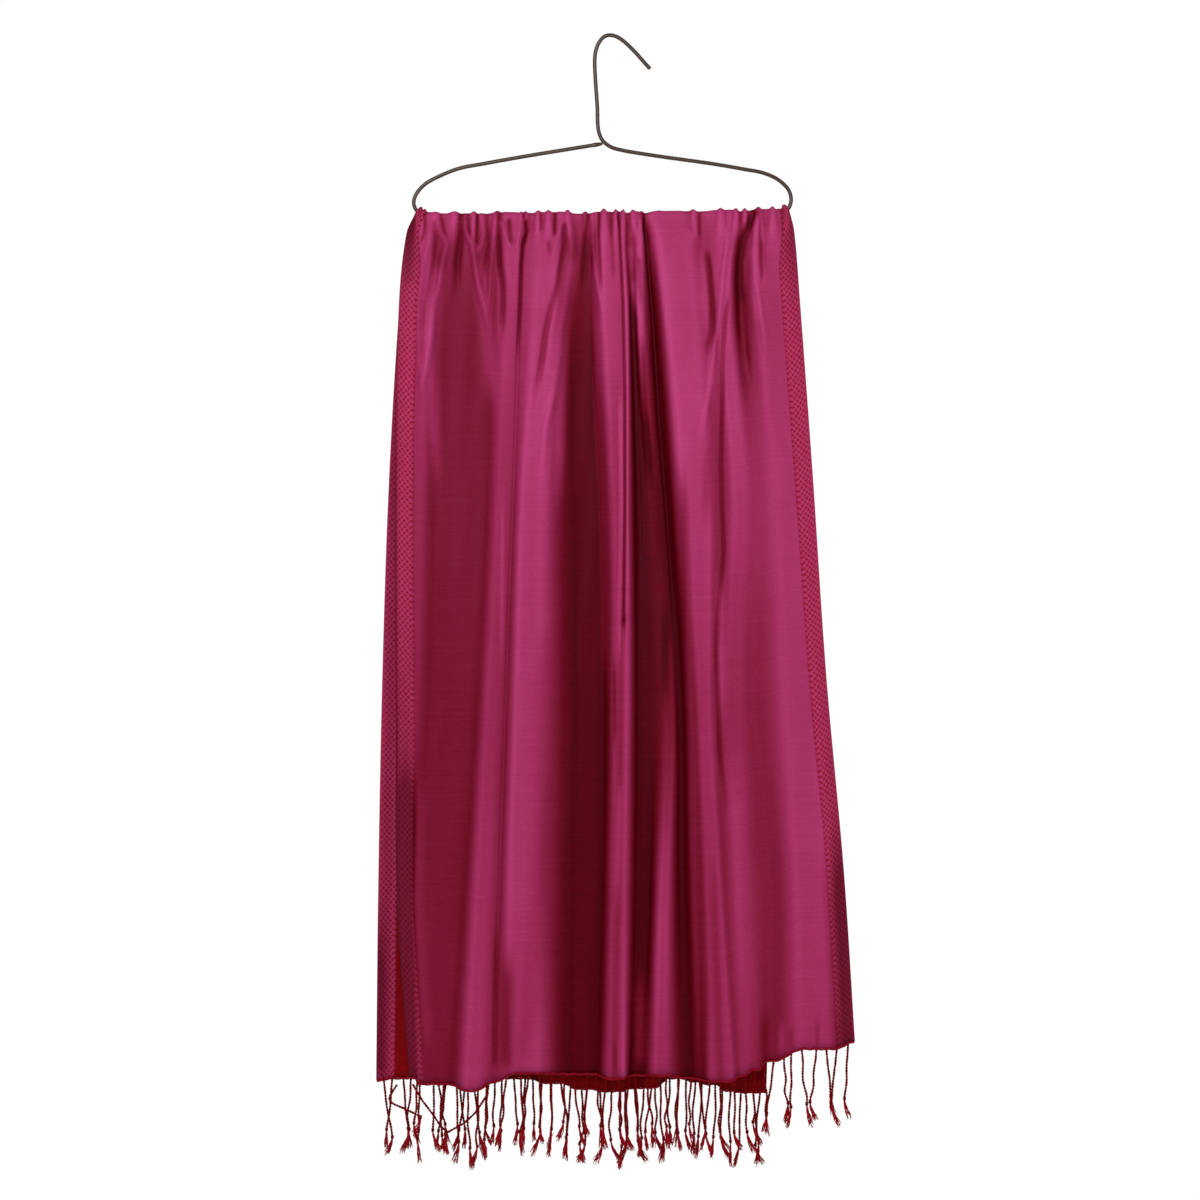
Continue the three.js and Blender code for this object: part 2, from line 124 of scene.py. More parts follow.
# smaller creases: path gives [across, down] places, counted in the steps below; out is how far a crease
# rises or sinks, light how much painted light or, below nothing, painted shade it adds, sides its widths
# to the left and right, and ends how softly its upper and lower ends run out, all but light in millimetres
creases = {
    "columns": ["path", "out", "light", "sides", "ends"],
    # a step's size in millimetres, and the steps across to the middle and down to the bar
    "steps": {
        "front": {"size": 1.08, "middle": 609.5, "bar": 212},
        "back": {"size": 1, "middle": 0, "bar": 0},
    },
    # each crease's light is painted: painted highlights above nothing, painted shade in creases, hollows and
    # gaps below it
    "front": [
        ([[425, 206], [425, 228], [421, 240]], -1, -0.22, [3, 3], [3, 8]),  # border tuck
        ([[412, 206], [411, 240], [410, 285]], 0, -0.2, [12, 11], [3, 20]),  # edge of the border
        ([[431, 222], [429, 240], [424, 260], [422, 280], [419, 300], [419, 330], [422, 390]],
         2.2, 0.06, [6, 5], [8, 40]),
        ([[435, 214], [436, 240], [433, 260], [430, 280], [426, 300], [425, 325]],
         -1.2, -0.16, [4, 4], [4, 20]),
        ([[438, 214], [441, 228], [447, 240], [442, 260], [439, 280], [435, 300], [433, 325], [429, 350],
          [422, 390]], 4, 0.1, [6, 7], [4, 40]),
        ([[441, 210], [444, 225], [447, 232]], -1, -0.22, [3, 3], [3, 8]),
        ([[462, 206], [461, 225], [459, 240], [457, 260], [457, 285]],
         -3, -0.36, [7, 8], [3, 60]),  # deep trough
        ([[463.5, 206], [465, 225], [472, 240], [475, 256], [478, 280], [484, 300], [488, 325]],
         5, 0.16, [5, 6], [3, 44]),
        ([[468, 206], [469, 225], [471, 233]], -1.6, -0.3, [3, 2.5], [3, 7]),
        ([[473, 206], [473, 228], [475, 241]], 1.8, 0.1, [3, 3], [3, 8]),
        ([[477, 206], [477, 230], [477, 240]], -2.2, -0.42, [3, 3], [3, 6]),
        ([[480, 206], [484, 226], [481.5, 240], [478, 248]], 2.2, 0.14, [3, 3.5], [3, 8]),
        ([[487, 206], [488, 240], [485, 258], [483, 280]], -1.6, -0.24, [3, 3], [3, 24]),
        ([[494, 210], [493, 240], [491, 260], [490, 280], [488, 310]], 3, 0.12, [4, 4], [5, 24]),
        ([[498, 206], [499, 240], [500, 260], [503, 280], [503, 300], [502, 330]],
         -4, -0.44, [4, 6], [3, 44]),
        ([[500, 214], [504, 226], [509, 240], [515, 248]], 2, 0.12, [3, 3], [5, 8]),
        ([[509, 212], [510, 228], [512, 240]], -2.2, -0.34, [4, 4], [5, 8]),
        ([[518, 206], [519.5, 226], [517, 244]], 1.8, 0.12, [3, 3], [3, 10]),
        ([[523, 206], [527, 226], [523, 240], [521, 260], [520, 300], [518, 350]],
         -3.2, -0.36, [3, 3.5], [3, 60]),  # step
        ([[520, 300], [518, 350], [517, 390], [513, 500], [509, 600], [506, 700], [502, 800], [499, 900],
          [495, 1000], [494, 1080]], -1.8, 0.04, [3, 4], [50, 30]),  # step below
        ([[525, 214], [525, 226], [524, 242]], -1, -0.2, [5, 6], [4, 12]),
        ([[540, 206], [541, 228]], -1.2, -0.22, [2.5, 3], [3, 6]),
        ([[549, 234], [550, 250]], -1, -0.18, [4, 4], [5, 8]),
        ([[556, 206], [555, 232]], -1.8, -0.34, [4, 3], [3, 8]),
        ([[565, 206], [560, 226], [556, 240], [551, 258]], 1.8, 0.08, [4, 4], [3, 12]),
        ([[565, 216], [564, 240], [561, 260], [558, 280], [552, 300], [546, 325], [543, 350], [536, 390]],
         -3.6, -0.34, [5, 6], [5, 60]),
        ([[568, 206], [573, 240], [571, 260], [568, 280], [565, 300], [561, 325], [559, 350], [554, 390],
          [546, 420], [541, 470]], 3.2, 0.12, [6, 7], [3, 60]),
        ([[587, 206], [585, 240], [584, 260], [583, 285]], -2, -0.34, [6, 6], [3, 60]),
        ([[592, 206], [593, 240], [594, 260], [597, 280], [602, 305]], 3.4, 0.16, [4, 4], [3, 24]),
        ([[599, 206], [599, 240], [600, 260], [601, 285]], -1.8, -0.28, [3, 3], [3, 24]),
        ([[611, 206], [612, 240], [613, 262], [614, 275]], -1.2, -0.14, [3, 3], [3, 14]),
        ([[617, 206], [619, 225], [621, 260], [623, 300], [625, 390], [625, 500], [624, 600], [624, 630]],
         -3, -0.42, [2.5, 2.5], [3, 40]),  # pleat line
        ([[629, 262], [628, 300], [628, 390], [628, 500], [629, 600]], 1, 0.06, [2.5, 2.5], [30, 60]),
        ([[625, 612], [622, 622]], -2.5, -0.3, [5, 5], [6, 8]),
        ([[630, 330], [634, 345], [636, 420], [639, 500], [640, 580]], -1, -0.2, [5, 5], [20, 60]),
        ([[642, 206], [644, 225], [647, 240], [650, 280], [652, 310], [655, 350], [659, 420], [666, 500],
          [671, 570], [674, 615]], -2, -0.4, [4, 4], [3, 70]),  # dark edge
        ([[650, 206], [651, 226], [655, 250], [661, 290], [668, 350]], 1.6, 0.08, [4, 6], [3, 60]),
        ([[691, 206], [691, 232]], -0.8, -0.12, [3, 3], [3, 10]),
        ([[694, 206], [696, 226], [698, 236]], 1.4, 0.08, [3, 3], [3, 8]),
        ([[700, 206], [700, 236]], -1.4, -0.2, [4, 4], [3, 10]),
        ([[706, 244], [708, 262], [710, 280], [712, 300], [712, 325], [707, 352]],
         -2.4, -0.4, [6, 5], [14, 26]),
        ([[730, 210], [727, 240], [724, 260], [722, 280], [720, 300], [717, 325], [713, 350], [709, 390],
          [701, 430]], 2.4, 0.12, [5, 5], [6, 50]),
        ([[757, 206], [748, 225], [742, 240], [738, 260], [738, 280], [740, 300], [741, 325], [744, 350],
          [747, 390]], -3, -0.38, [10, 8], [3, 60]),
        ([[729, 292], [724, 325], [722, 350], [722, 390], [720, 460], [721, 500], [723, 550], [718, 600],
          [716, 650], [718, 700], [719, 750], [725, 800]], -2.4, -0.27, [3.5, 4], [14, 90]),
        ([[757, 206], [753, 240], [753, 260], [754, 280], [758, 300], [762, 325], [765, 355]],
         2.6, 0.1, [4, 6], [3, 40]),
        ([[758, 206], [760, 240], [760, 260], [762, 280]], -1.8, -0.3, [3, 3], [3, 16]),
        ([[772, 206], [774, 222]], 1.4, 0.05, [4, 4], [3, 10]),
        # painted shadow: a dark line along the front's selvedge, in the gap before the back border
        ([[398.5, 316], [396.5, 380], [396.5, 560], [397, 760], [398.5, 930]],
         -1, -0.5, [4, 2.5], [30, 30]),  # selvedge
        ([[409, 740], [407, 820], [402, 900], [403, 1080]], 0, -0.75, [18, 15], [90, 10]),  # shaded
        ([[404, 930], [412, 1080]], -1, -0.25, [5, 6], [20, 10]),
        # painted shade along the lower right border, where it turns away
        ([[832, 800], [836, 868], [840, 960], [844, 1060]], 0, -0.62, [20, 20], [110, 10]),
        ([[545, 600], [543, 700], [540, 800], [537, 900], [530, 1000], [518, 1060]],
         0, -0.12, [16, 18], [80, 40]),
        ([[441, 712], [444, 760]], 1.3, 0, [4, 5], [14, 20]),
        ([[411, 988], [419, 996], [425, 1004]], 1.4, 0.05, [5, 5], [6, 8]),
        ([[765, 1005], [762, 1060]], -1, -0.15, [12, 10], [20, 10]),
        ([[790, 1020], [791, 1050]], -1, -0.14, [5, 5], [12, 8]),
        ([[816, 1012], [816, 1045]], -1.2, -0.2, [4, 5], [12, 8]),
        ([[836, 1012], [838, 1040]], -1, -0.16, [4, 4], [12, 8]),
        ([[614, 1030], [615, 1070]], -1, -0.16, [4, 4], [12, 8]),
        # these rows lift nothing: they are painted highlights and painted shade alone
        ([[438, 252], [436, 300], [432, 350], [434, 420], [437, 480]], 0, 0.4, [9, 12], [24, 90]),
        ([[482, 250], [485, 300], [489, 350], [492, 400]], 0, 0.34, [15, 12], [24, 60]),
        ([[574, 246], [568, 300], [564, 350], [561, 420], [559, 500]], 0, 0.38, [10, 10], [24, 90]),
        ([[594, 250], [593, 300], [596, 350], [598, 420], [602, 500], [604, 600], [605, 680]],
         0, 0.3, [7, 7], [24, 90]),
        ([[630, 236], [633, 300]], 0, 0.36, [6, 6], [14, 30]),
        ([[648, 232], [649, 300], [652, 340]], 0, 0.24, [6, 8], [14, 30]),
        ([[703, 240], [705, 300], [711, 350], [710, 400]], 0, 0.22, [9, 8], [24, 40]),
        ([[752, 240], [754, 290], [758, 320]], 0, 0.22, [6, 6], [14, 20]),
        ([[741, 290], [743, 350], [746, 380]], 0, 0.3, [6, 6], [20, 30]),
        ([[620, 380], [621, 500], [619, 600], [619, 660]], 0, 0.3, [3.5, 3], [40, 40]),
        ([[614, 650], [615, 740]], -1, -0.3, [3.5, 3.5], [24, 30]),
        ([[620, 770], [617, 900]], 0, 0.26, [5, 5], [30, 60]),
        ([[642, 330], [645, 420], [648, 470]], 0, -0.32, [5, 6], [24, 50]),
        ([[665, 590], [664, 700]], 0, -0.26, [7, 8], [40, 60]),
        ([[679, 440], [682, 500], [686, 600], [692, 700], [696, 800], [700, 900], [703, 1000], [704, 1080]],
         -2, -0.5, [9, 9], [90, 10]),  # lower trough
        ([[718, 560], [719, 640], [720, 720]], 0, 0.28, [7, 10], [40, 60]),
        ([[420, 760], [418, 900], [428, 1040]], 0, 0.12, [6, 12], [60, 20]),
        ([[510, 930], [508, 1000], [507, 1060]], -1, -0.36, [12, 12], [60, 10]),
        ([[640, 950], [640, 1060]], 0, 0.3, [14, 14], [60, 10]),
        ([[781, 1015], [781, 1050]], 0, 0.22, [6, 6], [16, 10]),
        ([[706, 420], [706, 520]], 0, -0.2, [8, 8], [50, 50]),
        ([[639, 248], [640, 304]], 0, -0.3, [4.5, 4.5], [12, 24]),
        ([[633, 272], [635, 312]], 0, 0.34, [4, 4], [12, 20]),
        ([[761, 236], [764, 270]], 0, -0.14, [6, 6], [10, 20]),
        ([[645, 400], [651, 480]], 0, -0.2, [6, 6], [30, 50]),
        ([[503, 470], [502, 660]], 0, 0.2, [4, 4], [60, 60]),
        ([[497, 900], [495, 1060]], 0, -0.25, [6, 6], [60, 10]),
        ([[404, 600], [405, 780], [409, 900], [412, 1000], [414, 1085]], 0, -0.3, [20, 12], [280, 6]),
        ([[712, 830], [718, 1000], [721, 1080]], 0, -0.16, [10, 6], [80, 10]),
        ([[732, 720], [736, 850], [742, 1000], [744, 1080]], 0, 0.2, [16, 20], [100, 10]),
    ],
    "back": [
        ([[-186, 8], [-190, 60], [-198, 130], [-204, 210]], 2.2, 0.06, [8, 8], [10, 60]),
        ([[-160, -6], [-162, 30], [-168, 80], [-176, 150]], -2.6, -0.3, [7, 8], [3, 60]),
        ([[-150, -6], [-148, 50], [-152, 100], [-158, 150]], 3.6, 0.12, [7, 8], [3, 50]),
        ([[-132, -6], [-134, 40], [-140, 90], [-148, 140]], -2.8, -0.32, [5, 6], [3, 40]),
        ([[-112, -6], [-116, 30], [-126, 80], [-140, 140]], 2.6, 0.1, [4, 6], [3, 50]),
        ([[-82, -6], [-84, 30], [-88, 70], [-95, 120]], -2.8, -0.3, [5, 7], [3, 40]),
        ([[-54, -6], [-52, 40], [-58, 90], [-66, 150]], 3, 0.1, [7, 8], [3, 50]),
        ([[-32, -6], [-34, 20], [-42, 60], [-50, 100]], -2.4, -0.3, [5, 6], [3, 40]),
        ([[-14, -6], [-18, 40], [-24, 80], [-30, 110]], 3, 0.12, [5, 6], [3, 30]),
        ([[3, -6], [1, 60], [-3, 140], [-8, 260], [-10, 380]], -3.6, -0.4, [3, 3.5], [3, 60]),
        ([[22, -6], [21, 40], [18, 90], [14, 140]], 2, 0.1, [4, 5], [3, 40]),
        ([[40, -6], [44, 30], [52, 70], [60, 120]], -2.4, -0.3, [5, 6], [3, 50]),
        ([[52, -6], [58, 50], [66, 90], [74, 130]], 3.4, 0.1, [6, 7], [3, 40]),
        ([[80, -6], [88, 60], [92, 120], [95, 200]], -2.6, -0.26, [5, 6], [3, 60]),
        ([[112, -6], [114, 50], [118, 110], [120, 170]], 2.6, 0.1, [6, 6], [3, 50]),
        ([[140, -6], [142, 40], [146, 90], [148, 150]], -2.4, -0.3, [5, 6], [3, 50]),
        ([[156, -6], [158, 40], [160, 90], [158, 150]], 2.6, 0.1, [6, 6], [3, 40]),
        # painted light, then painted shade over the lower end of the back's left border
        ([[-243, 300], [-246, 420], [-248, 520], [-250, 640]], 0, 0.22, [16, 14], [40, 60]),
        ([[-250, 720], [-250, 800], [-252, 935]], 0, -0.6, [30, 24], [120, 10]),
        ([[12, 300], [8, 420], [2, 600], [-2, 760]], -2.4, -0.3, [3.5, 3.5], [60, 80]),
        ([[-120, 860], [-114, 910]], 1.5, 0, [5, 5], [18, 10]),
        ([[90, 850], [84, 910]], 1.5, 0, [5, 5], [18, 10]),
    ],
    # short puckers where the cloth is bunched over the bar: [x, height, half width]
    "gathers": [
        [-207, 2.8, 3.2], [-202, 2.0, 3], [-187, 1.0, 5], [-167, 2.6, 10], [-146, 2.4, 4.4],
        [-121, 2.6, 5], [-95.6, 1.8, 3], [-91, 2.4, 4], [-77, 2.2, 4.2], [-66, 2.4, 4.2],
        [-45, 3.0, 4.4], [-26, 2.6, 4.4], [-6, 3.4, 4.6], [7, 2.8, 3.6], [15, 2.4, 3.2], [25, 2.4, 4],
        [35, 2.2, 3.2], [90, 2.2, 5], [120, 2.2, 5], [137, 2.8, 4], [146, 3.4, 4], [161, 2.8, 4.4],
        [176, 2.6, 4.2], [191, 3.2, 3.6],
    ],
    "gatherReach": 24, "fullDrop": 35, "shareAtBar": 0.3, "paintedShadeAtBar": 1.1, "overrun": 0.3,
    "rippleCount": 12, "rippleOut": 0.12, "rippleWidths": [22, 60], "rippleLean": 0.1,
    "rippleSwells": [28, 90], "rippleDrop": 60,
}

# painted light and shade of the folds: full crests painted bright, troughs and narrow creases painted dark,
# the cloth near the bar painted an even brightness
shading = {
    "fullOut": [5, 9, 15, 20, 20.5, 20, 20],              # a full crest at each station
    "barReach": 55, "paintedBarLight": 0.9, "paintedCrestLight": 0.84,
    "creaseShadeWidths": [[3, 0.11], [8, 0.04]],                 # how far around narrow creases are darkened
    "creaseShadeGainAtBar": 1.0, "creaseShadeReach": 50, "samples": 520,
}

mesh = {
    "panelColumns": 340, "borderColumns": 12, "barRows": 12,
    "rowSteps": [[60, 2.5], [300, 6.0], [1000, 10.0]],     # down to this drop, rows lie this far apart
    "samplesPerFold": 60,
}


def barHeight(x):
    left = hanger["barLeft"]
    right = hanger["barRight"]
    share = (x - left) / (right - left)
    rise = hanger["barRightHeight"] - hanger["barLeftHeight"]
    straight = hanger["barLeftHeight"] + rise * share - hanger["barSag"] * 4 * share * (1 - share)
    intoLeft = np.maximum(0, left + hanger["bendReach"] - x) / hanger["bendReach"]
    intoRight = np.maximum(0, x - right + hanger["bendReach"]) / hanger["bendReach"]
    return straight + hanger["leftBendRise"] * intoLeft ** 2 + hanger["rightBendRise"] * intoRight ** 2


def smooth(t):
    t = np.clip(t, 0, 1)
    return t * t * (3 - 2 * t)


def roundBump(t):
    return 0.5 + 0.5 * np.cos(np.pi * np.clip(t, -1, 1))


def toHalf(value):
    return np.round(value * 2) / 2


def namedRows(columns, rows):
    return [dict(zip(columns, row)) for row in rows]


# a smooth curve through the values given at the stations of a fall
def alongFall(values, share):
    stations = np.array(scarf["stations"])
    values = np.array(values, float)
    slopes = np.gradient(values, stations)
    slopes[1:-1] = (values[2:] - values[:-2]) / (stations[2:] - stations[:-2])
    index = np.clip(np.searchsorted(stations, share, side="right") - 1, 0, len(stations) - 2)
    length = stations[index + 1] - stations[index]
    t = (share - stations[index]) / length
    fromStart = (1 + 2 * t) * (1 - t) ** 2 * values[index] + t * (1 - t) ** 2 * length * slopes[index]
    fromEnd = t * t * (3 - 2 * t) * values[index + 1] - t * t * (1 - t) * length * slopes[index + 1]
    return fromStart + fromEnd


# how far the creases lift the cloth, and the painted light and painted shade they add to it
def creaseRelief(side, x, drop):
    relief = np.zeros_like(x)
    light = np.zeros_like(x)
    steps = creases["steps"][side]
    for crease in namedRows(creases["columns"], creases[side]):
        across, down = zip(*crease["path"])
        places = toHalf((np.array(across) - steps["middle"]) * steps["size"])
        drops = toHalf((np.array(down) - steps["bar"]) * steps["size"])
        fromCentre = x - np.interp(drop, drops, places)
        bump = roundBump(fromCentre / np.where(fromCentre < 0, *crease["sides"]))
        upper, lower = crease["ends"]
        fadeIn = smooth((drop - drops[0]) / upper)
        fadeOut = smooth((drops[-1] + creases["overrun"] * lower - drop) / lower)
        weight = bump * fadeIn * fadeOut
        relief += crease["out"] * weight
        light += crease["light"] * weight
    atBar = creases["shareAtBar"]
    relief *= atBar + (1 - atBar) * smooth(drop / creases["fullDrop"])
    # painted shade in the creases is made darker still near the bar
    light -= creases["paintedShadeAtBar"] * np.exp(-drop / creases["fullDrop"]) * np.maximum(-light, 0)
    return relief, light


def gatherRelief(x, drop):
    relief = np.zeros_like(x)
    for place, height, reach in creases["gathers"]:
        widening = reach * (1 + drop / creases["gatherReach"])
        relief += height * roundBump((x - place) / widening) * np.exp(-(drop / creases["gatherReach"]) ** 2)
    return relief


def rippleRelief(x, drop, seed):
    draw = random.Random(seed)
    relief = np.zeros_like(x)
    for _ in range(creases["rippleCount"]):
        width = draw.uniform(*creases["rippleWidths"])
        lean = draw.uniform(-creases["rippleLean"], creases["rippleLean"])
        phase = draw.uniform(0, fullTurn)
        swell = np.sin(drop / draw.uniform(*creases["rippleSwells"]) + draw.uniform(0, fullTurn))
        relief += creases["rippleOut"] * np.sin((x + lean * drop) * 2 * math.pi / width + phase) * swell
    return relief * smooth(drop / creases["rippleDrop"])


# where the rows of a fall lie, closer together near the bar
def rowShares():
    drop = 0
    shares = [0]
    length = scarf["fallLength"]
    for limit, step in mesh["rowSteps"]:
        while drop + step < min(limit, length):
            drop += step
            shares.append(drop / length)
    return np.array(shares[:-1] + [1.0])


# all rows of one fall, finely sampled across, as arrays of rows by places (millimetres)
def fallSection(side, shares):
    folds = namedRows(scarf["columns"], scarf[side])
    lines = len(folds)
    samples = (lines - 1) * mesh["samplesPerFold"] + 1
    place = np.linspace(0, lines - 1, samples)
    index = np.clip(np.floor(place).astype(int), 0, lines - 2)
    part = place - index
    flats = np.array([fold["flat"] for fold in folds])
    hems = np.array([fold["hem"] for fold in folds], float)
    turn = np.clip((part - flats[index]) / (1 - flats[index] - flats[index + 1]), 0, 1)
    wave = (1 - np.cos(np.pi * turn)) / 2
    xLines = np.array([alongFall(fold["x"], shares) for fold in folds]).T
    outLines = np.array([alongFall(fold["out"], shares) for fold in folds]).T
    x = xLines[:, index] * (1 - part) + xLines[:, index + 1] * part
    out = outLines[:, index] * (1 - wave) + outLines[:, index + 1] * wave
    hem = hems[index] * (1 - wave) + hems[index + 1] * wave + scarf["hemHeight"]
    barX = np.array([fold["x"][0] for fold in folds], float)
    top = barHeight(barX[index] * (1 - part) + barX[index + 1] * part)
    z = top + (hem - top) * shares[:, None]
    drop = top - z
    return place, x, out, z, drop


# both falls and the turn over the bar as one grid of places, with its lengths and its painted light and
# shade
def buildFabric():
    shares = rowShares()
    falls = {}
    for side, direction, seed in (("front", -1, 3), ("back", 1, 8)):
        place, x, out, z, drop = fallSection(side, shares)
        relief, light = creaseRelief(side, x, drop)
        folded = out + gatherRelief(x, drop)
        out = np.maximum(folded + relief + rippleRelief(x, drop, seed), scarf["leastOut"])
        y = direction * (scarf["barRadius"] + out)
        falls[side] = {"x": x, "y": y, "z": z, "out": out, "folded": folded, "light": light}
    front = {name: values[::-1] for name, values in falls["front"].items()}
    back = falls["back"]

    # over the bar the front's top row turns into the back's
    angles = np.linspace(0, np.pi, mesh["barRows"] + 1)[1:-1, None]
    turned = angles / np.pi
    over = {name: front[name][-1] * (1 - turned) + back[name][0] * turned
            for name in ("x", "out", "folded", "light")}
    slope = np.gradient(barHeight(over["x"][0]), over["x"][0])
    upX = -slope / np.hypot(slope, 1)
    upZ = 1 / np.hypot(slope, 1)
    reach = scarf["barRadius"] + over["out"]
    over["y"] = -reach * np.cos(angles)
    over["z"] = barHeight(over["x"]) + reach * np.sin(angles) * upZ
    over["x"] = over["x"] + reach * np.sin(angles) * upX

    fabric = {name: np.concatenate([front[name], over[name], back[name]]) for name in over}
    fabric["place"] = place
    fabric["frontRows"] = len(shares) + len(angles) // 2 + 1
    steps = np.sqrt(sum(np.diff(fabric[axis], axis=1) ** 2 for axis in "xyz"))
    fabric["across"] = np.pad(np.cumsum(steps, axis=1), ((0, 0), (1, 0)))
    middle = fabric["x"].shape[1] // 2
    climbs = np.sqrt(sum(np.diff(fabric[axis][:, middle]) ** 2 for axis in "xyz"))
    fabric["along"] = np.concatenate([[0], np.cumsum(climbs)])
    fabric["tone"] = paintedFoldLight(fabric)
    return fabric


# painted light and shade of the folds: 1 paints a full crest brightest, 0 the bottom of a narrow trough
# darkest
def paintedFoldLight(fabric):
    x = fabric["x"]
    out = fabric["folded"]
    drop = np.maximum(barHeight(x) - fabric["z"], 0)
    fullOut = np.interp(drop / scarf["fallLength"], scarf["stations"], shading["fullOut"])
    paintedOpenLight = out / fullOut * shading["paintedCrestLight"]
    # near the bar the cloth is painted an even brightness
    nearBar = np.exp(-drop / shading["barReach"])
    paintedOpenLight = paintedOpenLight * (1 - nearBar) + shading["paintedBarLight"] * nearBar
    even = np.linspace(x.min(), x.max(), shading["samples"])
    step = even[1] - even[0]
    # fine: painted shade in narrow creases and painted light on narrow ridges, from the height against its
    # blurred surroundings
    fine = np.zeros_like(x)
    tiny = 1e-6
    for row in range(len(x)):
        order = np.maximum.accumulate(x[row] + np.arange(x.shape[1]) * tiny)
        height = np.interp(even, order, out[row])
        total = np.zeros_like(height)
        for width, weight in shading["creaseShadeWidths"]:
            reach = int(3 * width / step)
            kernel = np.exp(-0.5 * (np.arange(-reach, reach + 1) * step / width) ** 2)
            kernel /= kernel.sum()
            padded = np.pad(height, reach, mode="edge")
            total += weight * (height - np.convolve(padded, kernel, mode="valid"))
        fine[row] = np.interp(x[row], even, total)
    fine *= 1 + shading["creaseShadeGainAtBar"] * np.exp(-drop / shading["creaseShadeReach"])
    # each crease's own painted light and painted shade is added on top
    return np.clip(paintedOpenLight + fine + fabric["light"], 0, 1)


def pickColumns(fabric, row, lengths):
    positions = [np.interp(lengths, fabric["across"][row], fabric[axis][row]) for axis in "xyz"]
    tone = np.interp(lengths, fabric["across"][row], fabric["tone"][row])
    return np.stack(positions, axis=1), tone


def borderWidthAt(fabric, row):
    drop = np.mean(barHeight(fabric["x"][row]) - fabric["z"][row])
    share = smooth(drop / scarf["borderNarrowsAbove"])
    return scarf["borderWidthOnBar"] + (scarf["borderWidth"] - scarf["borderWidthOnBar"]) * share


def panelLengths(fabric, row):
    across = fabric["across"][row]
    evenPlace = fabric["place"] / fabric["place"][-1] * across[-1]
    mixed = 0.5 * across + 0.5 * evenPlace
    width = borderWidthAt(fabric, row) - scarf["seamOverlap"]
    ends = np.interp([width, across[-1] - width], across, mixed)
    return np.interp(np.linspace(ends[0], ends[1], mesh["panelColumns"]), mixed, across)


def deselectAll():
    bpy.ops.object.select_all(action="DESELECT")


# a grid whose points are moved onto the cloth; rows run from the front hem over the bar to the back hem
def clothPiece(fabric, name, rows, lengthsAt, thickness, materials):
    points = []
    uvs = []
    paintedLights = []
    for row in rows:
        lengths, fromEdge = lengthsAt(row)
        position, tone = pickColumns(fabric, row, lengths)
        points.append(position)
        paintedLights.append(tone)
        uvs.append(np.stack([fromEdge, np.full_like(lengths, fabric["along"][row])], axis=1))
    points, uvs, paintedLights = np.array(points), np.array(uvs), np.array(paintedLights)
    rowCount, columnCount = points.shape[:2]
    deselectAll()
    bpy.ops.mesh.primitive_grid_add(x_subdivisions=columnCount - 1, y_subdivisions=rowCount - 1, size=1)
    piece = bpy.context.object
    piece.name = name
    data = piece.data
    data.name = name
    count = len(data.vertices)
    start = np.empty(count * 3)
    data.vertices.foreach_get("co", start)
    start = start.reshape(-1, 3)
    columns = np.rint((start[:, 0] + 0.5) * (columnCount - 1)).astype(int)
    lines = np.rint((start[:, 1] + 0.5) * (rowCount - 1)).astype(int)
    data.vertices.foreach_set("co", (points[lines, columns] * mm).ravel())
    data.update()
    corners = np.empty(len(data.loops), dtype=int)
    data.loops.foreach_get("vertex_index", corners)
    layer = data.uv_layers[0]
    layer.name = "cloth"
    layer.data.foreach_set("uv", (uvs[lines, columns][corners] * mm).ravel())
    # the painted light and shade of the folds goes onto each point
    tone = data.attributes.new("tone", "FLOAT", "POINT")
    tone.data.foreach_set("value", paintedLights[lines, columns])
    for material in materials:
        data.materials.append(material)
    wall = piece.modifiers.new("wall", "SOLIDIFY")
    wall.thickness = thickness * mm
    wall.offset = 0
    wall.use_even_offset = False
    wall.material_offset = len(materials) - 1
    wall.material_offset_rim = len(materials) - 1
    bpy.ops.object.modifier_apply(modifier=wall.name)
    bpy.ops.object.shade_smooth()
    return piece


def silkPiece(fabric, name, rows, materials):
    def lengthsAt(row):
        lengths = panelLengths(fabric, row)
        return lengths, lengths

    return clothPiece(fabric, name, rows, lengthsAt, scarf["silkThickness"], materials)


def borderPiece(fabric, name, fromLeft, materials):
    fullWidths = np.linspace(0, scarf["borderWidth"], mesh["borderColumns"])

    def lengthsAt(row):
        widths = fullWidths * borderWidthAt(fabric, row) / scarf["borderWidth"]
        if fromLeft:
            return widths, fullWidths
        return fabric["across"][row][-1] - widths[::-1], fullWidths[::-1]

    rows = range(len(fabric["along"]))
    return clothPiece(fabric, name, rows, lengthsAt, scarf["borderThickness"], materials)


# cords and wires are curves with a round section, turned into meshes
def tubes(name, routes, radius, roundness, material):
    data = bpy.data.curves.new(name, "CURVE")
    data.dimensions = "3D"
    data.bevel_depth = radius * mm
    data.bevel_resolution = roundness
    data.use_fill_caps = True
    for route in routes:
        spline = data.splines.new("POLY")
        spline.points.add(len(route["points"]) - 1)
        flatPoints = np.column_stack([np.array(route["points"]) * mm, np.ones(len(route["points"]))])
        spline.points.foreach_set("co", flatPoints.ravel())
        spline.points.foreach_set("radius", np.array(route["radii"], float))
        spline.use_smooth = True
    piece = bpy.data.objects.new(name, data)
    bpy.context.collection.objects.link(piece)
    deselectAll()
    piece.select_set(True)
    bpy.context.view_layer.objects.active = piece
    bpy.ops.object.convert(target="MESH")
    piece = bpy.context.object
    piece.data.name = name
    piece.data.materials.clear()
    piece.data.materials.append(material)
    bpy.ops.object.shade_smooth()
    return piece


def joinPieces(name, parts):
    deselectAll()
    for part in parts:
        part.select_set(True)
    bpy.context.view_layer.objects.active = parts[0]
    bpy.ops.object.join()
    piece = bpy.context.object
    piece.name = name
    piece.data.name = name
    return piece


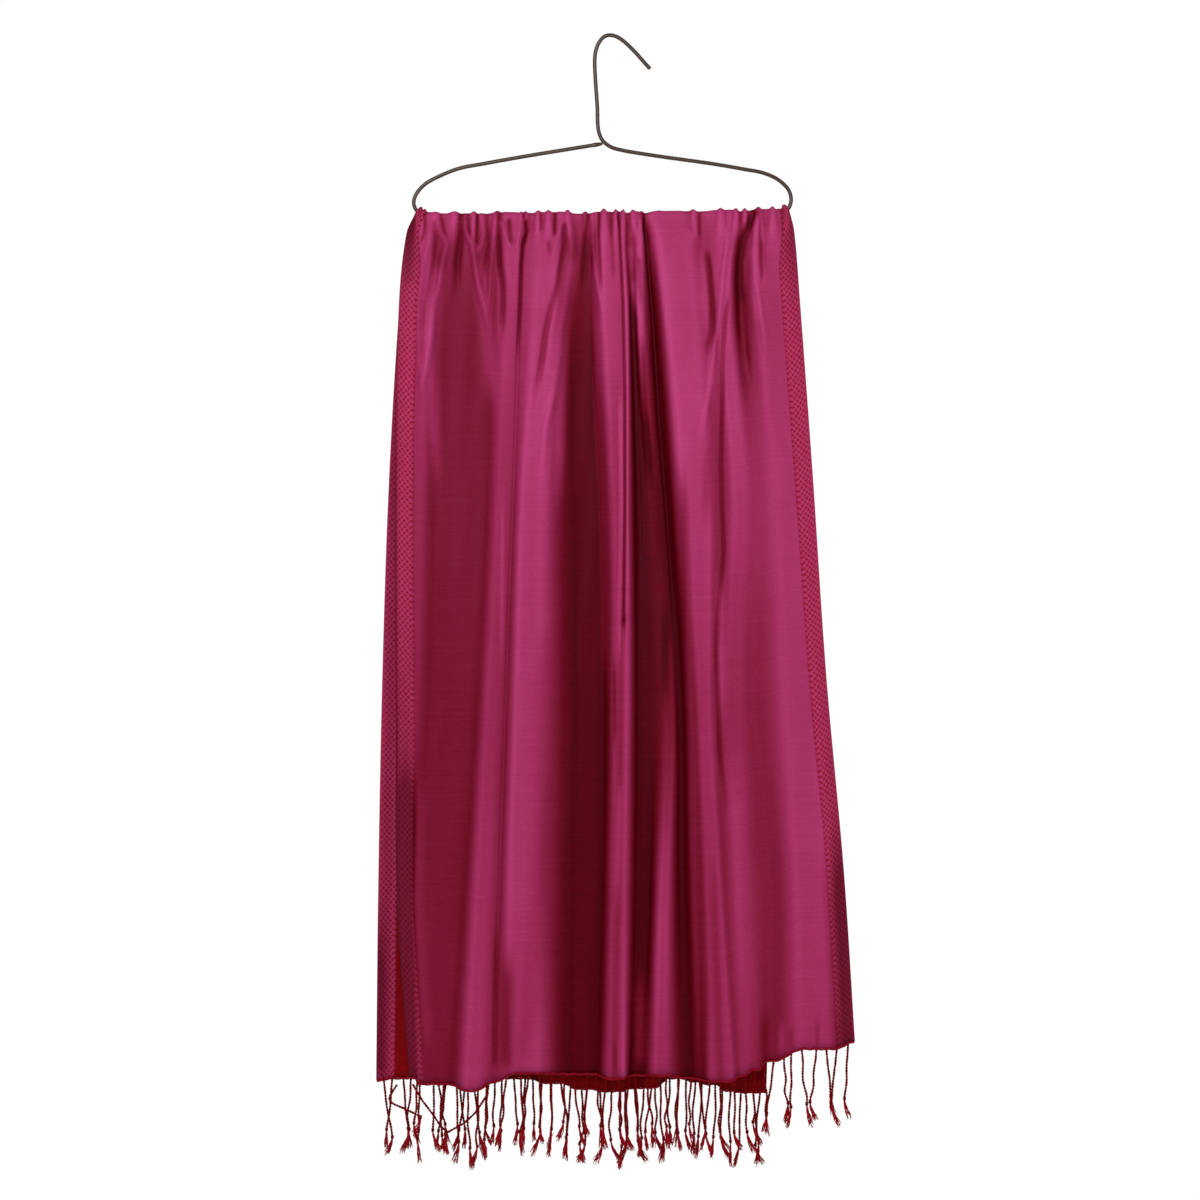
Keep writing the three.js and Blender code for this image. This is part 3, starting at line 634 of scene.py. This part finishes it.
# a smooth line through all the points, evenly eased however far apart they lie
def throughPoints(points, perStretch):
    points = np.array(points, float)
    ends = np.vstack([2 * points[0] - points[1], points, 2 * points[-1] - points[-2]])
    route = []
    for index in range(1, len(ends) - 2):
        p0, p1, p2, p3 = ends[index - 1:index + 3]
        t1 = np.linalg.norm(p1 - p0) ** 0.5
        t2 = t1 + np.linalg.norm(p2 - p1) ** 0.5
        t3 = t2 + np.linalg.norm(p3 - p2) ** 0.5
        for t in np.linspace(t1, t2, perStretch, endpoint=False):
            a1 = (t1 - t) / t1 * p0 + t / t1 * p1
            a2 = (t2 - t) / (t2 - t1) * p1 + (t - t1) / (t2 - t1) * p2
            a3 = (t3 - t) / (t3 - t2) * p2 + (t - t2) / (t3 - t2) * p3
            b1 = (t2 - t) / t2 * a1 + t / t2 * a2
            b2 = (t3 - t) / (t3 - t1) * a2 + (t - t1) / (t3 - t1) * a3
            route.append((t2 - t) / (t2 - t1) * b1 + (t - t1) / (t2 - t1) * b2)
    route.append(points[-1])
    return np.array(route)


def wirePiece(material):
    barX = np.linspace(hanger["barLeft"], hanger["barRight"], hanger["barPoints"] + 1)
    barPoints = np.column_stack([barX, barHeight(barX)])
    flat = np.vstack([hanger["leftArm"], barPoints, hanger["rightArmAndHook"]])
    route = throughPoints(np.insert(flat, 1, 0, axis=1), hanger["pointsPerStretch"])
    tip = route[-1] - route[-2]
    tip /= np.linalg.norm(tip)
    route = np.vstack([route] + [route[-1] + reach * tip for reach in hanger["tipReach"]])
    radii = np.ones(len(route))
    radii[-len(hanger["tipRadii"]):] = hanger["tipRadii"]
    return tubes("wire_hanger", [{"points": route, "radii": radii}], hanger["radius"], hanger["roundness"],
                 material)


def weldPiece(material):
    tilt = math.radians(hanger["weldTilt"])
    x, z = hanger["weldStart"]
    points = []
    radii = []
    for share, radius in hanger["weldProfile"]:
        reach = share * hanger["weldLength"]
        points.append([x + reach * math.cos(tilt), 0, z + reach * math.sin(tilt)])
        radii.append(radius)
    return tubes("hanger_weld_flare", [{"points": points, "radii": radii}], hanger["radius"],
                 hanger["roundness"], material)


fringe = {
    "cordsPerEnd": 42, "unevenness": 3.2, "rootDrop": 1.4,
    "cordReaches": [-8, 7], "cordDrop": 55, "cordPoints": 46,
    "cordRadius": 0.82, "plyOffset": 0.62, "twistLength": 6.2, "pointsPerTwist": 9,
    "pairShare": 0.38, "pairLeans": [0.06, 0.13], "cordLean": 0.05, "cordSideways": 2.5,
    "knotRadius": 0.62, "knotSwell": 1.35, "knotTurns": 2.2, "knotPoints": 15, "knotDrop": 0.6,
    "knotTurnsPlaced": [[-0.9, 0.5], [0.9, -0.5]],        # height and slant of each turn of the knot
    "strandsPerTuft": 18, "strandRadius": 0.46, "strandPoints": 12, "strandSwell": [1.2, 0.7],
    "tuftLength": 26, "tuftSpread": 3.1, "tuftDrop": 1.4, "tuftRise": 0.4,
    # cords of the front that swing aside, as [x, z] from the hem down to the knot
    "swungForward": 3, "swungSmoothing": 6,
    "swungCords": {
        0: [[-229, -1130], [-238.6, -1144.9], [-234.9, -1149.8], [-223, -1154.6], [-210.8, -1160.5],
            [-203.6, -1164.3]],
        2: [[-211.8, -1129], [-201.4, -1147], [-189.5, -1162.2], [-182, -1174], [-176, -1179.5]],
        8: [[-130.4, -1137.3], [-137.7, -1149.2], [-143.7, -1158.5], [-157.1, -1170.9],
             [-168.7, -1176.8], [-176.6, -1181.6]],
    },
}

# the rolled hem is a tube along the end of a fall, drawn in a little at each cord
hem = {
    "radius": 1.15, "roundness": 3, "swell": 0.2,
    "points": 420, "inset": 0.6, "drop": 0.5, "pulledDown": 0.9,
}


def hemPiece(fabric, name, row, material):
    total = fabric["across"][row][-1]
    lengths = np.linspace(hem["inset"], total - hem["inset"], hem["points"])
    position, _ = pickColumns(fabric, row, lengths)
    spacing = total / fringe["cordsPerEnd"]
    scallop = np.abs(np.sin(np.pi * lengths / spacing))
    position[:, 2] -= hem["drop"] + hem["pulledDown"] * (1 - scallop)
    radii = 1.0 + hem["swell"] * scallop
    return tubes(name, [{"points": position, "radii": radii}], hem["radius"], hem["roundness"], material)


def cordRoute(root, draw, reach, lean, sideways):
    share = np.linspace(0, 1, fringe["cordPoints"])
    swayX = draw.uniform(0.5, 2.2)
    swayY = draw.uniform(0.3, 1.2)
    turnX = draw.uniform(0.7, 1.8)
    phase = draw.uniform(0, fullTurn)
    swing = np.sin(turnX * np.pi * share * 2 + phase) - math.sin(phase)
    x = root[0] + lean * share * reach + swayX * swing * share
    y = root[1] + sideways * share + swayY * np.sin(turnX * np.pi * share + phase) * share
    z = root[2] - reach * share
    return np.column_stack([x, y, z])


def twistedPlies(route, draw):
    lengths = np.concatenate([[0], np.cumsum(np.linalg.norm(np.diff(route, axis=0), axis=1))])
    count = int(lengths[-1] / fringe["twistLength"] * fringe["pointsPerTwist"])
    even = np.linspace(0, lengths[-1], count)
    centre = np.column_stack([np.interp(even, lengths, route[:, axis]) for axis in range(3)])
    forward = np.gradient(centre, axis=0)
    forward /= np.linalg.norm(forward, axis=1)[:, None]
    sideA = np.cross(forward, [0, 1, 0])
    sideA /= np.linalg.norm(sideA, axis=1)[:, None]
    sideB = np.cross(forward, sideA)
    start = draw.uniform(0, fullTurn)
    plies = []
    for ply in (0, math.pi):
        angle = (start + ply + 2 * math.pi * even / fringe["twistLength"])[:, None]
        offset = fringe["plyOffset"] * (sideA * np.cos(angle) + sideB * np.sin(angle))
        plies.append({"points": centre + offset, "radii": np.ones(count)})
    return plies


def knotLoops(centre, draw):
    loops = []
    tilt = draw.uniform(-0.5, 0.5)
    angle = np.linspace(0, fringe["knotTurns"] * math.pi, fringe["knotPoints"])
    for lift, slant in fringe["knotTurnsPlaced"]:
        z = lift + slant * np.sin(angle + tilt * 2) + 0.25 * angle / math.pi
        turn = np.column_stack([np.cos(angle + tilt), np.sin(angle + tilt), z])
        loops.append({"points": centre + turn, "radii": np.full(len(angle), fringe["knotSwell"])})
    return loops


def tuftStrands(centre, draw, length):
    strands = []
    bend = draw.uniform(-0.4, 0.4) * length
    fullness = draw.uniform(0.7, 1.25)
    for index in range(fringe["strandsPerTuft"]):
        heading = fullTurn * index / fringe["strandsPerTuft"] + draw.uniform(-0.4, 0.4)
        spread = draw.uniform(0.3, 1.0) * fringe["tuftSpread"] * fullness
        reach = length * draw.uniform(0.72, 1.05)
        curl = draw.uniform(0.2, 0.7)
        turns = draw.uniform(1.2, 3.0)
        phase = draw.uniform(0, fullTurn)
        share = np.linspace(0, 1, fringe["strandPoints"])
        flare = spread * share ** 0.8
        x = flare * math.cos(heading) + curl * np.sin(turns * 2 * math.pi * share + phase) * share
        x += bend * share ** 1.6
        y = 0.6 * flare * math.sin(heading) + curl * np.cos(turns * 2 * math.pi * share + phase) * share
        z = fringe["tuftRise"] - reach * share
        radii = np.linspace(*fringe["strandSwell"], fringe["strandPoints"])
        strands.append({"points": centre + np.column_stack([x, y, z]), "radii": radii})
    return strands


def swungRoute(points, y):
    points = np.array(points, float)
    lengths = np.concatenate([[0], np.cumsum(np.linalg.norm(np.diff(points, axis=0), axis=1))])
    even = np.linspace(0, lengths[-1], fringe["cordPoints"])
    x, z = (np.interp(even, lengths, points[:, axis]) for axis in range(2))
    for _ in range(fringe["swungSmoothing"]):
        x[1:-1] = (x[:-2] + x[2:]) / 2
        z[1:-1] = (z[:-2] + z[2:]) / 2
    return np.column_stack([x, np.full_like(x, y), z])


def fringePiece(fabric, name, row, seed, swung, cordMaterial, tuftMaterial):
    draw = random.Random(seed)
    total = fabric["across"][row][-1]
    spacing = total / fringe["cordsPerEnd"]
    cords = []
    knots = []
    tufts = []
    pull = 0
    down = np.array([0, 0, 1])
    for index in range(fringe["cordsPerEnd"]):
        offset = draw.uniform(-fringe["unevenness"], fringe["unevenness"])
        length = np.clip((index + 0.5) * spacing + offset, 2, total - 2)
        root, _ = pickColumns(fabric, row, np.array([length]))
        root = root[0] - down * fringe["rootDrop"]
        reach = fringe["cordDrop"] + draw.uniform(*fringe["cordReaches"])
        # some neighbours hang together, one drawn towards the other
        lean = draw.uniform(-fringe["cordLean"], fringe["cordLean"]) - pull
        paired = draw.random() < fringe["pairShare"] and pull == 0
        pull = draw.uniform(*fringe["pairLeans"]) if paired else 0
        sideways = draw.uniform(-fringe["cordSideways"], fringe["cordSideways"])
        route = cordRoute(root, draw, reach, lean + pull, sideways)
        if index in swung:
            route = swungRoute(swung[index], root[1] - fringe["swungForward"])
        cords += twistedPlies(route, draw)
        knots += knotLoops(route[-1] - down * fringe["knotDrop"], draw)
        tuftLength = fringe["tuftLength"] * draw.uniform(0.7, 1)
        tufts += tuftStrands(route[-1] - down * fringe["tuftDrop"], draw, tuftLength)
    parts = [
        tubes(name, cords, fringe["cordRadius"], 0, cordMaterial),
        tubes(name + "_knots", knots, fringe["knotRadius"], 1, cordMaterial),
        tubes(name + "_tufts", tufts, fringe["strandRadius"], 0, tuftMaterial),
    ]
    return joinPieces(name, parts)


# a socket that can be added, taken away, multiplied, divided and compared
class Signal:
    def __init__(self, shade, socket):
        self.shade = shade
        self.socket = socket

    def maths(self, operation, first, second):
        return self.shade.node("ShaderNodeMath", {"operation": operation}, {0: first, 1: second})

    def __add__(self, other):
        return self.maths("ADD", self, other)

    def __radd__(self, other):
        return self.maths("ADD", other, self)

    def __sub__(self, other):
        return self.maths("SUBTRACT", self, other)

    def __rsub__(self, other):
        return self.maths("SUBTRACT", other, self)

    def __mul__(self, other):
        return self.maths("MULTIPLY", self, other)

    def __rmul__(self, other):
        return self.maths("MULTIPLY", other, self)

    def __truediv__(self, other):
        return self.maths("DIVIDE", self, other)

    def __gt__(self, other):
        return self.maths("GREATER_THAN", self, other)

    def __lt__(self, other):
        return self.maths("LESS_THAN", self, other)


class Shade:
    def __init__(self, name):
        self.material = bpy.data.materials.new(name)
        self.material.use_nodes = True
        self.tree = self.material.node_tree
        self.shader = self.tree.nodes["Principled BSDF"]

    def node(self, kind, settings=None, values=None, out=0):
        made = self.tree.nodes.new(kind)
        for key, value in (settings or {}).items():
            if key == "stops":
                self.setStops(made, value)
            else:
                setattr(made, key, value)
        for key, value in (values or {}).items():
            self.feed(made.inputs[key], value)
        return Signal(self, made.outputs[out])

    def setStops(self, ramp, stops):
        elements = ramp.color_ramp.elements
        while len(elements) < len(stops):
            elements.new(0.5)
        for element, (position, colour) in zip(elements, stops):
            element.position = position
            element.color = colour

    def feed(self, socket, value):
        if isinstance(value, Signal):
            self.tree.links.new(value.socket, socket)
        else:
            socket.default_value = value

    def set(self, **values):
        for name, value in values.items():
            self.feed(self.shader.inputs[name.replace("_", " ")], value)

    def mix(self, factor, first, second):
        settings = {"data_type": "RGBA", "blend_type": "MIX", "clamp_factor": True}
        return self.node("ShaderNodeMix", settings, {0: factor, 6: first, 7: second}, out=2)

    def scaled(self, vector, scale):
        return self.node("ShaderNodeVectorMath", {"operation": "MULTIPLY"}, {0: vector, 1: scale})

    def noise(self, vector, scale, detail=2.0, roughness=0.5):
        return self.node("ShaderNodeTexNoise", None,
                         {"Vector": vector, "Scale": scale, "Detail": detail, "Roughness": roughness})

    def bump(self, height, strength, distance):
        return self.node("ShaderNodeBump", None,
                         {"Height": height, "Strength": strength, "Distance": distance})

    def smoothRange(self, value, low, high):
        return self.node("ShaderNodeMapRange", {"interpolation_type": "SMOOTHSTEP"},
                         {"Value": value, "From Min": low, "From Max": high})

    def part(self, vector, index):
        return self.node("ShaderNodeSeparateXYZ", None, {0: vector}, out=index)


def colour(red, green, blue):
    channels = []
    for value in (red, green, blue):
        value /= 255
        channels.append(value / 12.92 if value <= 0.04045 else ((value + 0.055) / 1.055) ** 2.4)
    return (*channels, 1.0)


def clothCoordinates(shade):
    return shade.node("ShaderNodeUVMap", {"uv_map": "cloth"})


# the painted light and shade of the folds, stored on the cloth
def paintedLightOf(shade):
    return shade.node("ShaderNodeAttribute", {"attribute_name": "tone"}, out="Fac")


# how many times a metre each kind of unevenness turns, across and along the cloth
weave = {
    "threads": (60, 2300, 1), "slubs": (22, 620, 1), "warp": (2600, 30, 1),
    "cloudy": (16, 7, 1), "longSlubs": (9, 330, 1), "grain": (240, 1500, 1),
    "worn": (700, 900, 1), "uneven": (160, 160, 1),
    "threadHeight": 0.35, "slubHeight": 0.9, "warpHeight": 0.2,      # their shares of the bump
}


def weaveHeight(shade, uv):
    threads = shade.noise(shade.scaled(uv, weave["threads"]), 1.0, 1.0)
    slubs = shade.noise(shade.scaled(uv, weave["slubs"]), 1.0, 3.0, 0.6)
    warp = shade.noise(shade.scaled(uv, weave["warp"]), 1.0, 1.0)
    height = threads * weave["threadHeight"] + slubs * weave["slubHeight"] + warp * weave["warpHeight"]
    return height, slubs


satin = {
    # colours picked by the painted light: dark red is painted shade in the troughs, light pink painted
    # highlight on the crests
    "paintedLights": [
        (0.0, colour(74, 0, 6)), (0.12, colour(96, 2, 14)), (0.28, colour(116, 12, 34)),
        (0.5, colour(140, 29, 62)), (0.75, colour(168, 46, 94)), (1.0, colour(196, 66, 124)),
    ],
    "roughness": 0.4, "glint": (1.0, 0.25, 0.5, 1), "specular": 0.16,
    "slubShade": 0.12, "longSlubShade": 0.1, "cloudShade": 0.12, "grainShade": 0.2, "slubGloss": 0.2,
    "bump": (0.6, 0.0002),
}


def silkMaterial():
    shade = Shade("silk_satin")
    uv = clothCoordinates(shade)
    height, slubs = weaveHeight(shade, uv)
    cloudy = shade.noise(shade.scaled(uv, weave["cloudy"]), 1.0, 3.0)
    longSlubs = shade.noise(shade.scaled(uv, weave["longSlubs"]), 1.0, 2.0)
    grain = shade.noise(shade.scaled(uv, weave["grain"]), 1.0, 2.0)
    # level: the folds' painted light, with random slub, cloud and grain tone
    level = paintedLightOf(shade) + (slubs - 0.5) * satin["slubShade"] + (longSlubs - 0.5) * satin["longSlubShade"]
    level = level + (cloudy - 0.5) * satin["cloudShade"] + (grain - 0.5) * satin["grainShade"]
    tint = shade.node("ShaderNodeValToRGB", {"stops": satin["paintedLights"]}, {"Fac": level})
    shade.set(Base_Color=tint, Roughness=satin["roughness"] + (slubs - 0.5) * satin["slubGloss"],
              Specular_Tint=satin["glint"], Specular_IOR_Level=satin["specular"],
              Normal=shade.bump(height, *satin["bump"]))
    return shade.material


reverse = {
    "dark": colour(108, 5, 9), "light": colour(154, 11, 19), "roughness": 0.5,
    "specular": 0.1, "glint": (1.0, 0.25, 0.25, 1), "bump": (0.5, 0.0002),
}


def reverseMaterial():
    shade = Shade("silk_reverse")
    uv = clothCoordinates(shade)
    height, slubs = weaveHeight(shade, uv)
    tint = shade.mix(slubs, reverse["dark"], reverse["light"])
    shade.set(Base_Color=tint, Roughness=reverse["roughness"], Specular_Tint=reverse["glint"],
              Specular_IOR_Level=reverse["specular"], Normal=shade.bump(height, *reverse["bump"]))
    return shade.material


lattice = {
    "cellWidth": 0.0058, "cellHeight": 0.0066,
    "selvedge": 0.0022, "edgeRow": 0.0186, "dotPitch": 0.0062, "dotShare": 0.2,
    "thread": colour(182, 50, 94), "bright": colour(202, 74, 124), "red": colour(138, 16, 28),
    # shadow: the colour of the painted shade on the border
    "shadow": colour(84, 2, 12),
    "cellEdge": (0.32, 0.15), "crossingFrom": (0.72, 0.95), "unevenness": 0.5,
    "darkAbove": -0.21, "darkFrom": -0.30, "bunchedShade": 0.42,
    "shadeGain": 1.15, "shadeStart": 0.36,
    "wholeShifts": (40, 400), "redCover": 1.3, "leastRed": 0.25, "dotStrength": 0.8,
    "weaveRelief": 0.3, "threadRelief": 0.8, "crossingRelief": 0.4, "plainRelief": 0.3,
    "roughness": 0.5, "bump": (0.5, 0.0003),
}


# magenta threads cross on the slant over a red ground, which shows in the cells between them
def latticeMaterial():
    shade = Shade("lattice_border")
    uv = clothCoordinates(shade)
    u = shade.part(uv, 0)
    v = shade.part(uv, 1)
    uneven = (shade.noise(shade.scaled(uv, weave["uneven"]), 1.0, 2.0) - 0.5) * lattice["unevenness"]
    acrossCells = u / lattice["cellWidth"]
    alongCells = v / lattice["cellHeight"]

    def fromMiddle(value):
        share = shade.node("ShaderNodeMath", {"operation": "FRACT"}, {0: value})
        return shade.node("ShaderNodeMath", {"operation": "ABSOLUTE"}, {0: share - 0.5})

    # whole numbers keep both values above nothing, where their fractions stay even
    risingShift, fallingShift = lattice["wholeShifts"]
    rising = fromMiddle(acrossCells + alongCells + uneven + risingShift)
    falling = fromMiddle(acrossCells - alongCells + uneven + fallingShift)
    nearThread = shade.node("ShaderNodeMath", {"operation": "MAXIMUM"}, {0: rising, 1: falling})
    cell = shade.smoothRange(nearThread, *lattice["cellEdge"])
    crossing = shade.smoothRange(rising + falling, *lattice["crossingFrom"])
    worn = shade.noise(shade.scaled(uv, weave["worn"]), 1.0, 2.0)
    cloth = shade.mix(crossing, lattice["thread"], lattice["bright"])
    cloth = shade.mix(cell * (worn * lattice["redCover"] + lattice["leastRed"]), cloth, lattice["red"])
    plain = (u < lattice["selvedge"]) + (u > lattice["edgeRow"])
    cloth = shade.mix(plain, cloth, lattice["thread"])
    rowDots = fromMiddle(v / lattice["dotPitch"] + uneven) < lattice["dotShare"]
    inRow = (u > lattice["edgeRow"]) * rowDots
    cloth = shade.mix(inRow * lattice["dotStrength"], cloth, lattice["red"])
    # painted shade: the border darkens where the folds' painted light is low, and more near the bar, where
    # it is bunched
    place = shade.node("ShaderNodeTexCoord", out="Object")
    bunched = shade.smoothRange(shade.part(place, 2), lattice["darkFrom"], lattice["darkAbove"])
    dim = (1 - paintedLightOf(shade)) * lattice["shadeGain"] - lattice["shadeStart"]
    dim = dim + bunched * lattice["bunchedShade"]
    cloth = shade.mix(dim, cloth, lattice["shadow"])
    height, _ = weaveHeight(shade, uv)
    relief = height * lattice["weaveRelief"] + (1 - cell) * lattice["threadRelief"]
    relief = relief + crossing * lattice["crossingRelief"] + plain * lattice["plainRelief"]
    shade.set(Base_Color=cloth, Roughness=lattice["roughness"], Specular_Tint=satin["glint"],
              Specular_IOR_Level=satin["specular"], Normal=shade.bump(relief, *lattice["bump"]))
    return shade.material


# each thread's dark and light reds, how fine and how broad its unevenness is, and its bumps
threads = {
    "hem": {"name": "red_hem", "dark": colour(92, 4, 14), "light": colour(172, 20, 44), "roughness": 0.55,
            "fine": 900.0, "broad": 90.0, "broadShare": 0.6, "bump": (0.5, 0.0004),
            "whipping": 260.0, "whippedFine": 0.6},
    "cord": {"name": "red_cord", "dark": colour(80, 0, 2), "light": colour(148, 6, 12), "roughness": 0.6,
             "fine": 1400.0, "broad": 60.0, "broadShare": 0.5, "bump": (0.4, 0.0002)},
    "tuft": {"name": "red_tuft", "dark": colour(112, 6, 12), "light": colour(190, 26, 38), "roughness": 0.65,
             "fine": 1100.0, "broad": 70.0, "broadShare": 0.6, "bump": (0.4, 0.0002)},
}


def threadMaterial(thread):
    shade = Shade(thread["name"])
    place = shade.node("ShaderNodeTexCoord", out="Object")
    fine = shade.noise(place, thread["fine"], 2.0)
    soft = shade.noise(place, thread["broad"], 2.0)
    share = thread["broadShare"]
    tint = shade.mix(soft * share + fine * (1 - share), thread["dark"], thread["light"])
    height = fine
    if "whipping" in thread:
        whip = shade.node("ShaderNodeTexWave", {"bands_direction": "DIAGONAL"},
                          {"Vector": place, "Scale": thread["whipping"]})
        height = whip + fine * thread["whippedFine"]
    shade.set(Base_Color=tint, Roughness=thread["roughness"], Specular_Tint=reverse["glint"],
              Specular_IOR_Level=reverse["specular"], Normal=shade.bump(height, *thread["bump"]))
    return shade.material


bronze = {
    "dark": colour(66, 48, 41), "light": colour(88, 68, 60), "metallic": 0.2,
    "roughness": 0.26, "broad": 26.0, "fine": 900.0, "broadShare": 0.8,
    "unevenGloss": 0.06, "bump": (0.02, 0.00005),
}


def wireMaterial():
    shade = Shade("bronze_wire")
    place = shade.node("ShaderNodeTexCoord", out="Object")
    soft = shade.noise(place, bronze["broad"], 2.0)
    fine = shade.noise(place, bronze["fine"], 2.0)
    share = bronze["broadShare"]
    tint = shade.mix(soft * share + fine * (1 - share), bronze["dark"], bronze["light"])
    shade.set(Base_Color=tint, Metallic=bronze["metallic"],
              Roughness=bronze["roughness"] + soft * bronze["unevenGloss"],
              Normal=shade.bump(fine, *bronze["bump"]))
    return shade.material


# camera, light and stage
studio = {
    "centre": (-0.0103, 0, -0.608), "viewWidth": 1.296, "distance": 4.0,
    "sensor": 36.0, "farthest": 50, "lightsAimAt": (0, 0, -0.65),
    "lights": [                                           # name, place, size and power
        ("key", (-0.9, -3.2, 0.6), 1.6, 58),
        ("fill", (1.8, -2.6, -0.4), 1.8, 16),
        ("rear", (0.6, 3.2, 0.4), 2.0, 45),
    ],
    "floorHeight": -1.62, "floorSize": 3.5, "floorColour": (0.82, 0.82, 0.82, 1),
    "glow": 0.28, "backdrop": 1.0,                        # how bright the surroundings light and look
}


def addCamera():
    x, _, z = studio["centre"]
    bpy.ops.object.camera_add(location=(x, -studio["distance"], z), rotation=(math.pi / 2, 0, 0))
    camera = bpy.context.object
    camera.data.sensor_width = studio["sensor"]
    camera.data.lens = studio["sensor"] * studio["distance"] / studio["viewWidth"]
    camera.data.clip_end = studio["farthest"]
    bpy.context.scene.camera = camera


def addLight(name, location, size, power):
    bpy.ops.object.light_add(type="AREA", location=location)
    light = bpy.context.object
    light.name = name
    light.data.size = size
    light.data.energy = power
    light.visible_camera = False
    away = np.array(location) - np.array(studio["lightsAimAt"])
    tilt = math.atan2(math.hypot(away[0], away[1]), away[2])
    light.rotation_euler = (tilt, 0, math.atan2(away[0], -away[1]))


def addStage():
    deselectAll()
    bpy.ops.mesh.primitive_plane_add(size=studio["floorSize"], location=(0, 0, studio["floorHeight"]))
    floor = bpy.context.object
    floor.name = "floor"
    shade = Shade("pale_floor")
    shade.set(Base_Color=studio["floorColour"], Roughness=0.9)
    floor.data.materials.append(shade.material)
    world = bpy.data.worlds.new("studio")
    bpy.context.scene.world = world
    world.use_nodes = True
    nodes = world.node_tree.nodes
    links = world.node_tree.links
    path = nodes.new("ShaderNodeLightPath")
    background = nodes["Background"]
    mix = nodes.new("ShaderNodeMix")
    mix.inputs[2].default_value = studio["glow"]
    mix.inputs[3].default_value = studio["backdrop"]
    links.new(path.outputs["Is Camera Ray"], mix.inputs[0])
    links.new(mix.outputs[0], background.inputs["Strength"])
    background.inputs["Color"].default_value = (1, 1, 1, 1)


addCamera()
for light in studio["lights"]:
    addLight(*light)
addStage()
bpy.context.scene.view_settings.view_transform = "Standard"
print("camera, lights and stage placed")

fabric = buildFabric()
rowTotal = len(fabric["along"])
print("cloth worked out:", rowTotal, "rows")

silk = silkMaterial()
silkBack = reverseMaterial()
latticeCloth = latticeMaterial()
hemThread = threadMaterial(threads["hem"])
cordThread = threadMaterial(threads["cord"])
tuftThread = threadMaterial(threads["tuft"])
bronzeWire = wireMaterial()

frontSilk = silkPiece(fabric, "front_silk", range(fabric["frontRows"] + 5), [silk, silkBack])
backSilk = silkPiece(fabric, "back_silk", range(fabric["frontRows"] + 4, rowTotal), [silk, silkBack])
print("silk falls made")
leftLattice = borderPiece(fabric, "left_lattice", True, [latticeCloth])
rightLattice = borderPiece(fabric, "right_lattice", False, [latticeCloth, silkBack])
print("borders made")
frontRoll = hemPiece(fabric, "front_hem_roll", 0, hemThread)
backRoll = hemPiece(fabric, "back_hem_roll", rowTotal - 1, hemThread)
frontCords = fringePiece(fabric, "front_fringe_cords", 0, 11, fringe["swungCords"], cordThread, tuftThread)
backCords = fringePiece(fabric, "back_fringe_cords", rowTotal - 1, 23, {}, cordThread, tuftThread)
print("hems and fringes made")
wire = wirePiece(bronzeWire)
weld = weldPiece(bronzeWire)
print("hanger made")

standsFor = [
    (frontSilk, "silk_satin", ["front_fall", "bar_fold"]),
    (backSilk, "silk_satin", ["back_fall"]),
    (leftLattice, "lattice_border", ["left_border"]),
    (rightLattice, "lattice_border", ["right_border"]),
    (frontRoll, "red_hem", ["front_hem"]),
    (backRoll, "red_hem", ["back_hem"]),
    (frontCords, "red_fringe", ["front_fringe"]),
    (backCords, "red_fringe", ["back_fringe"]),
    (wire, "bronze_wire", ["hanger_wire"]),
    (weld, "bronze_wire", ["hanger_weld"]),
]
for piece, slotName, nodes in standsFor:
    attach(piece, "root")
    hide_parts(*nodes)
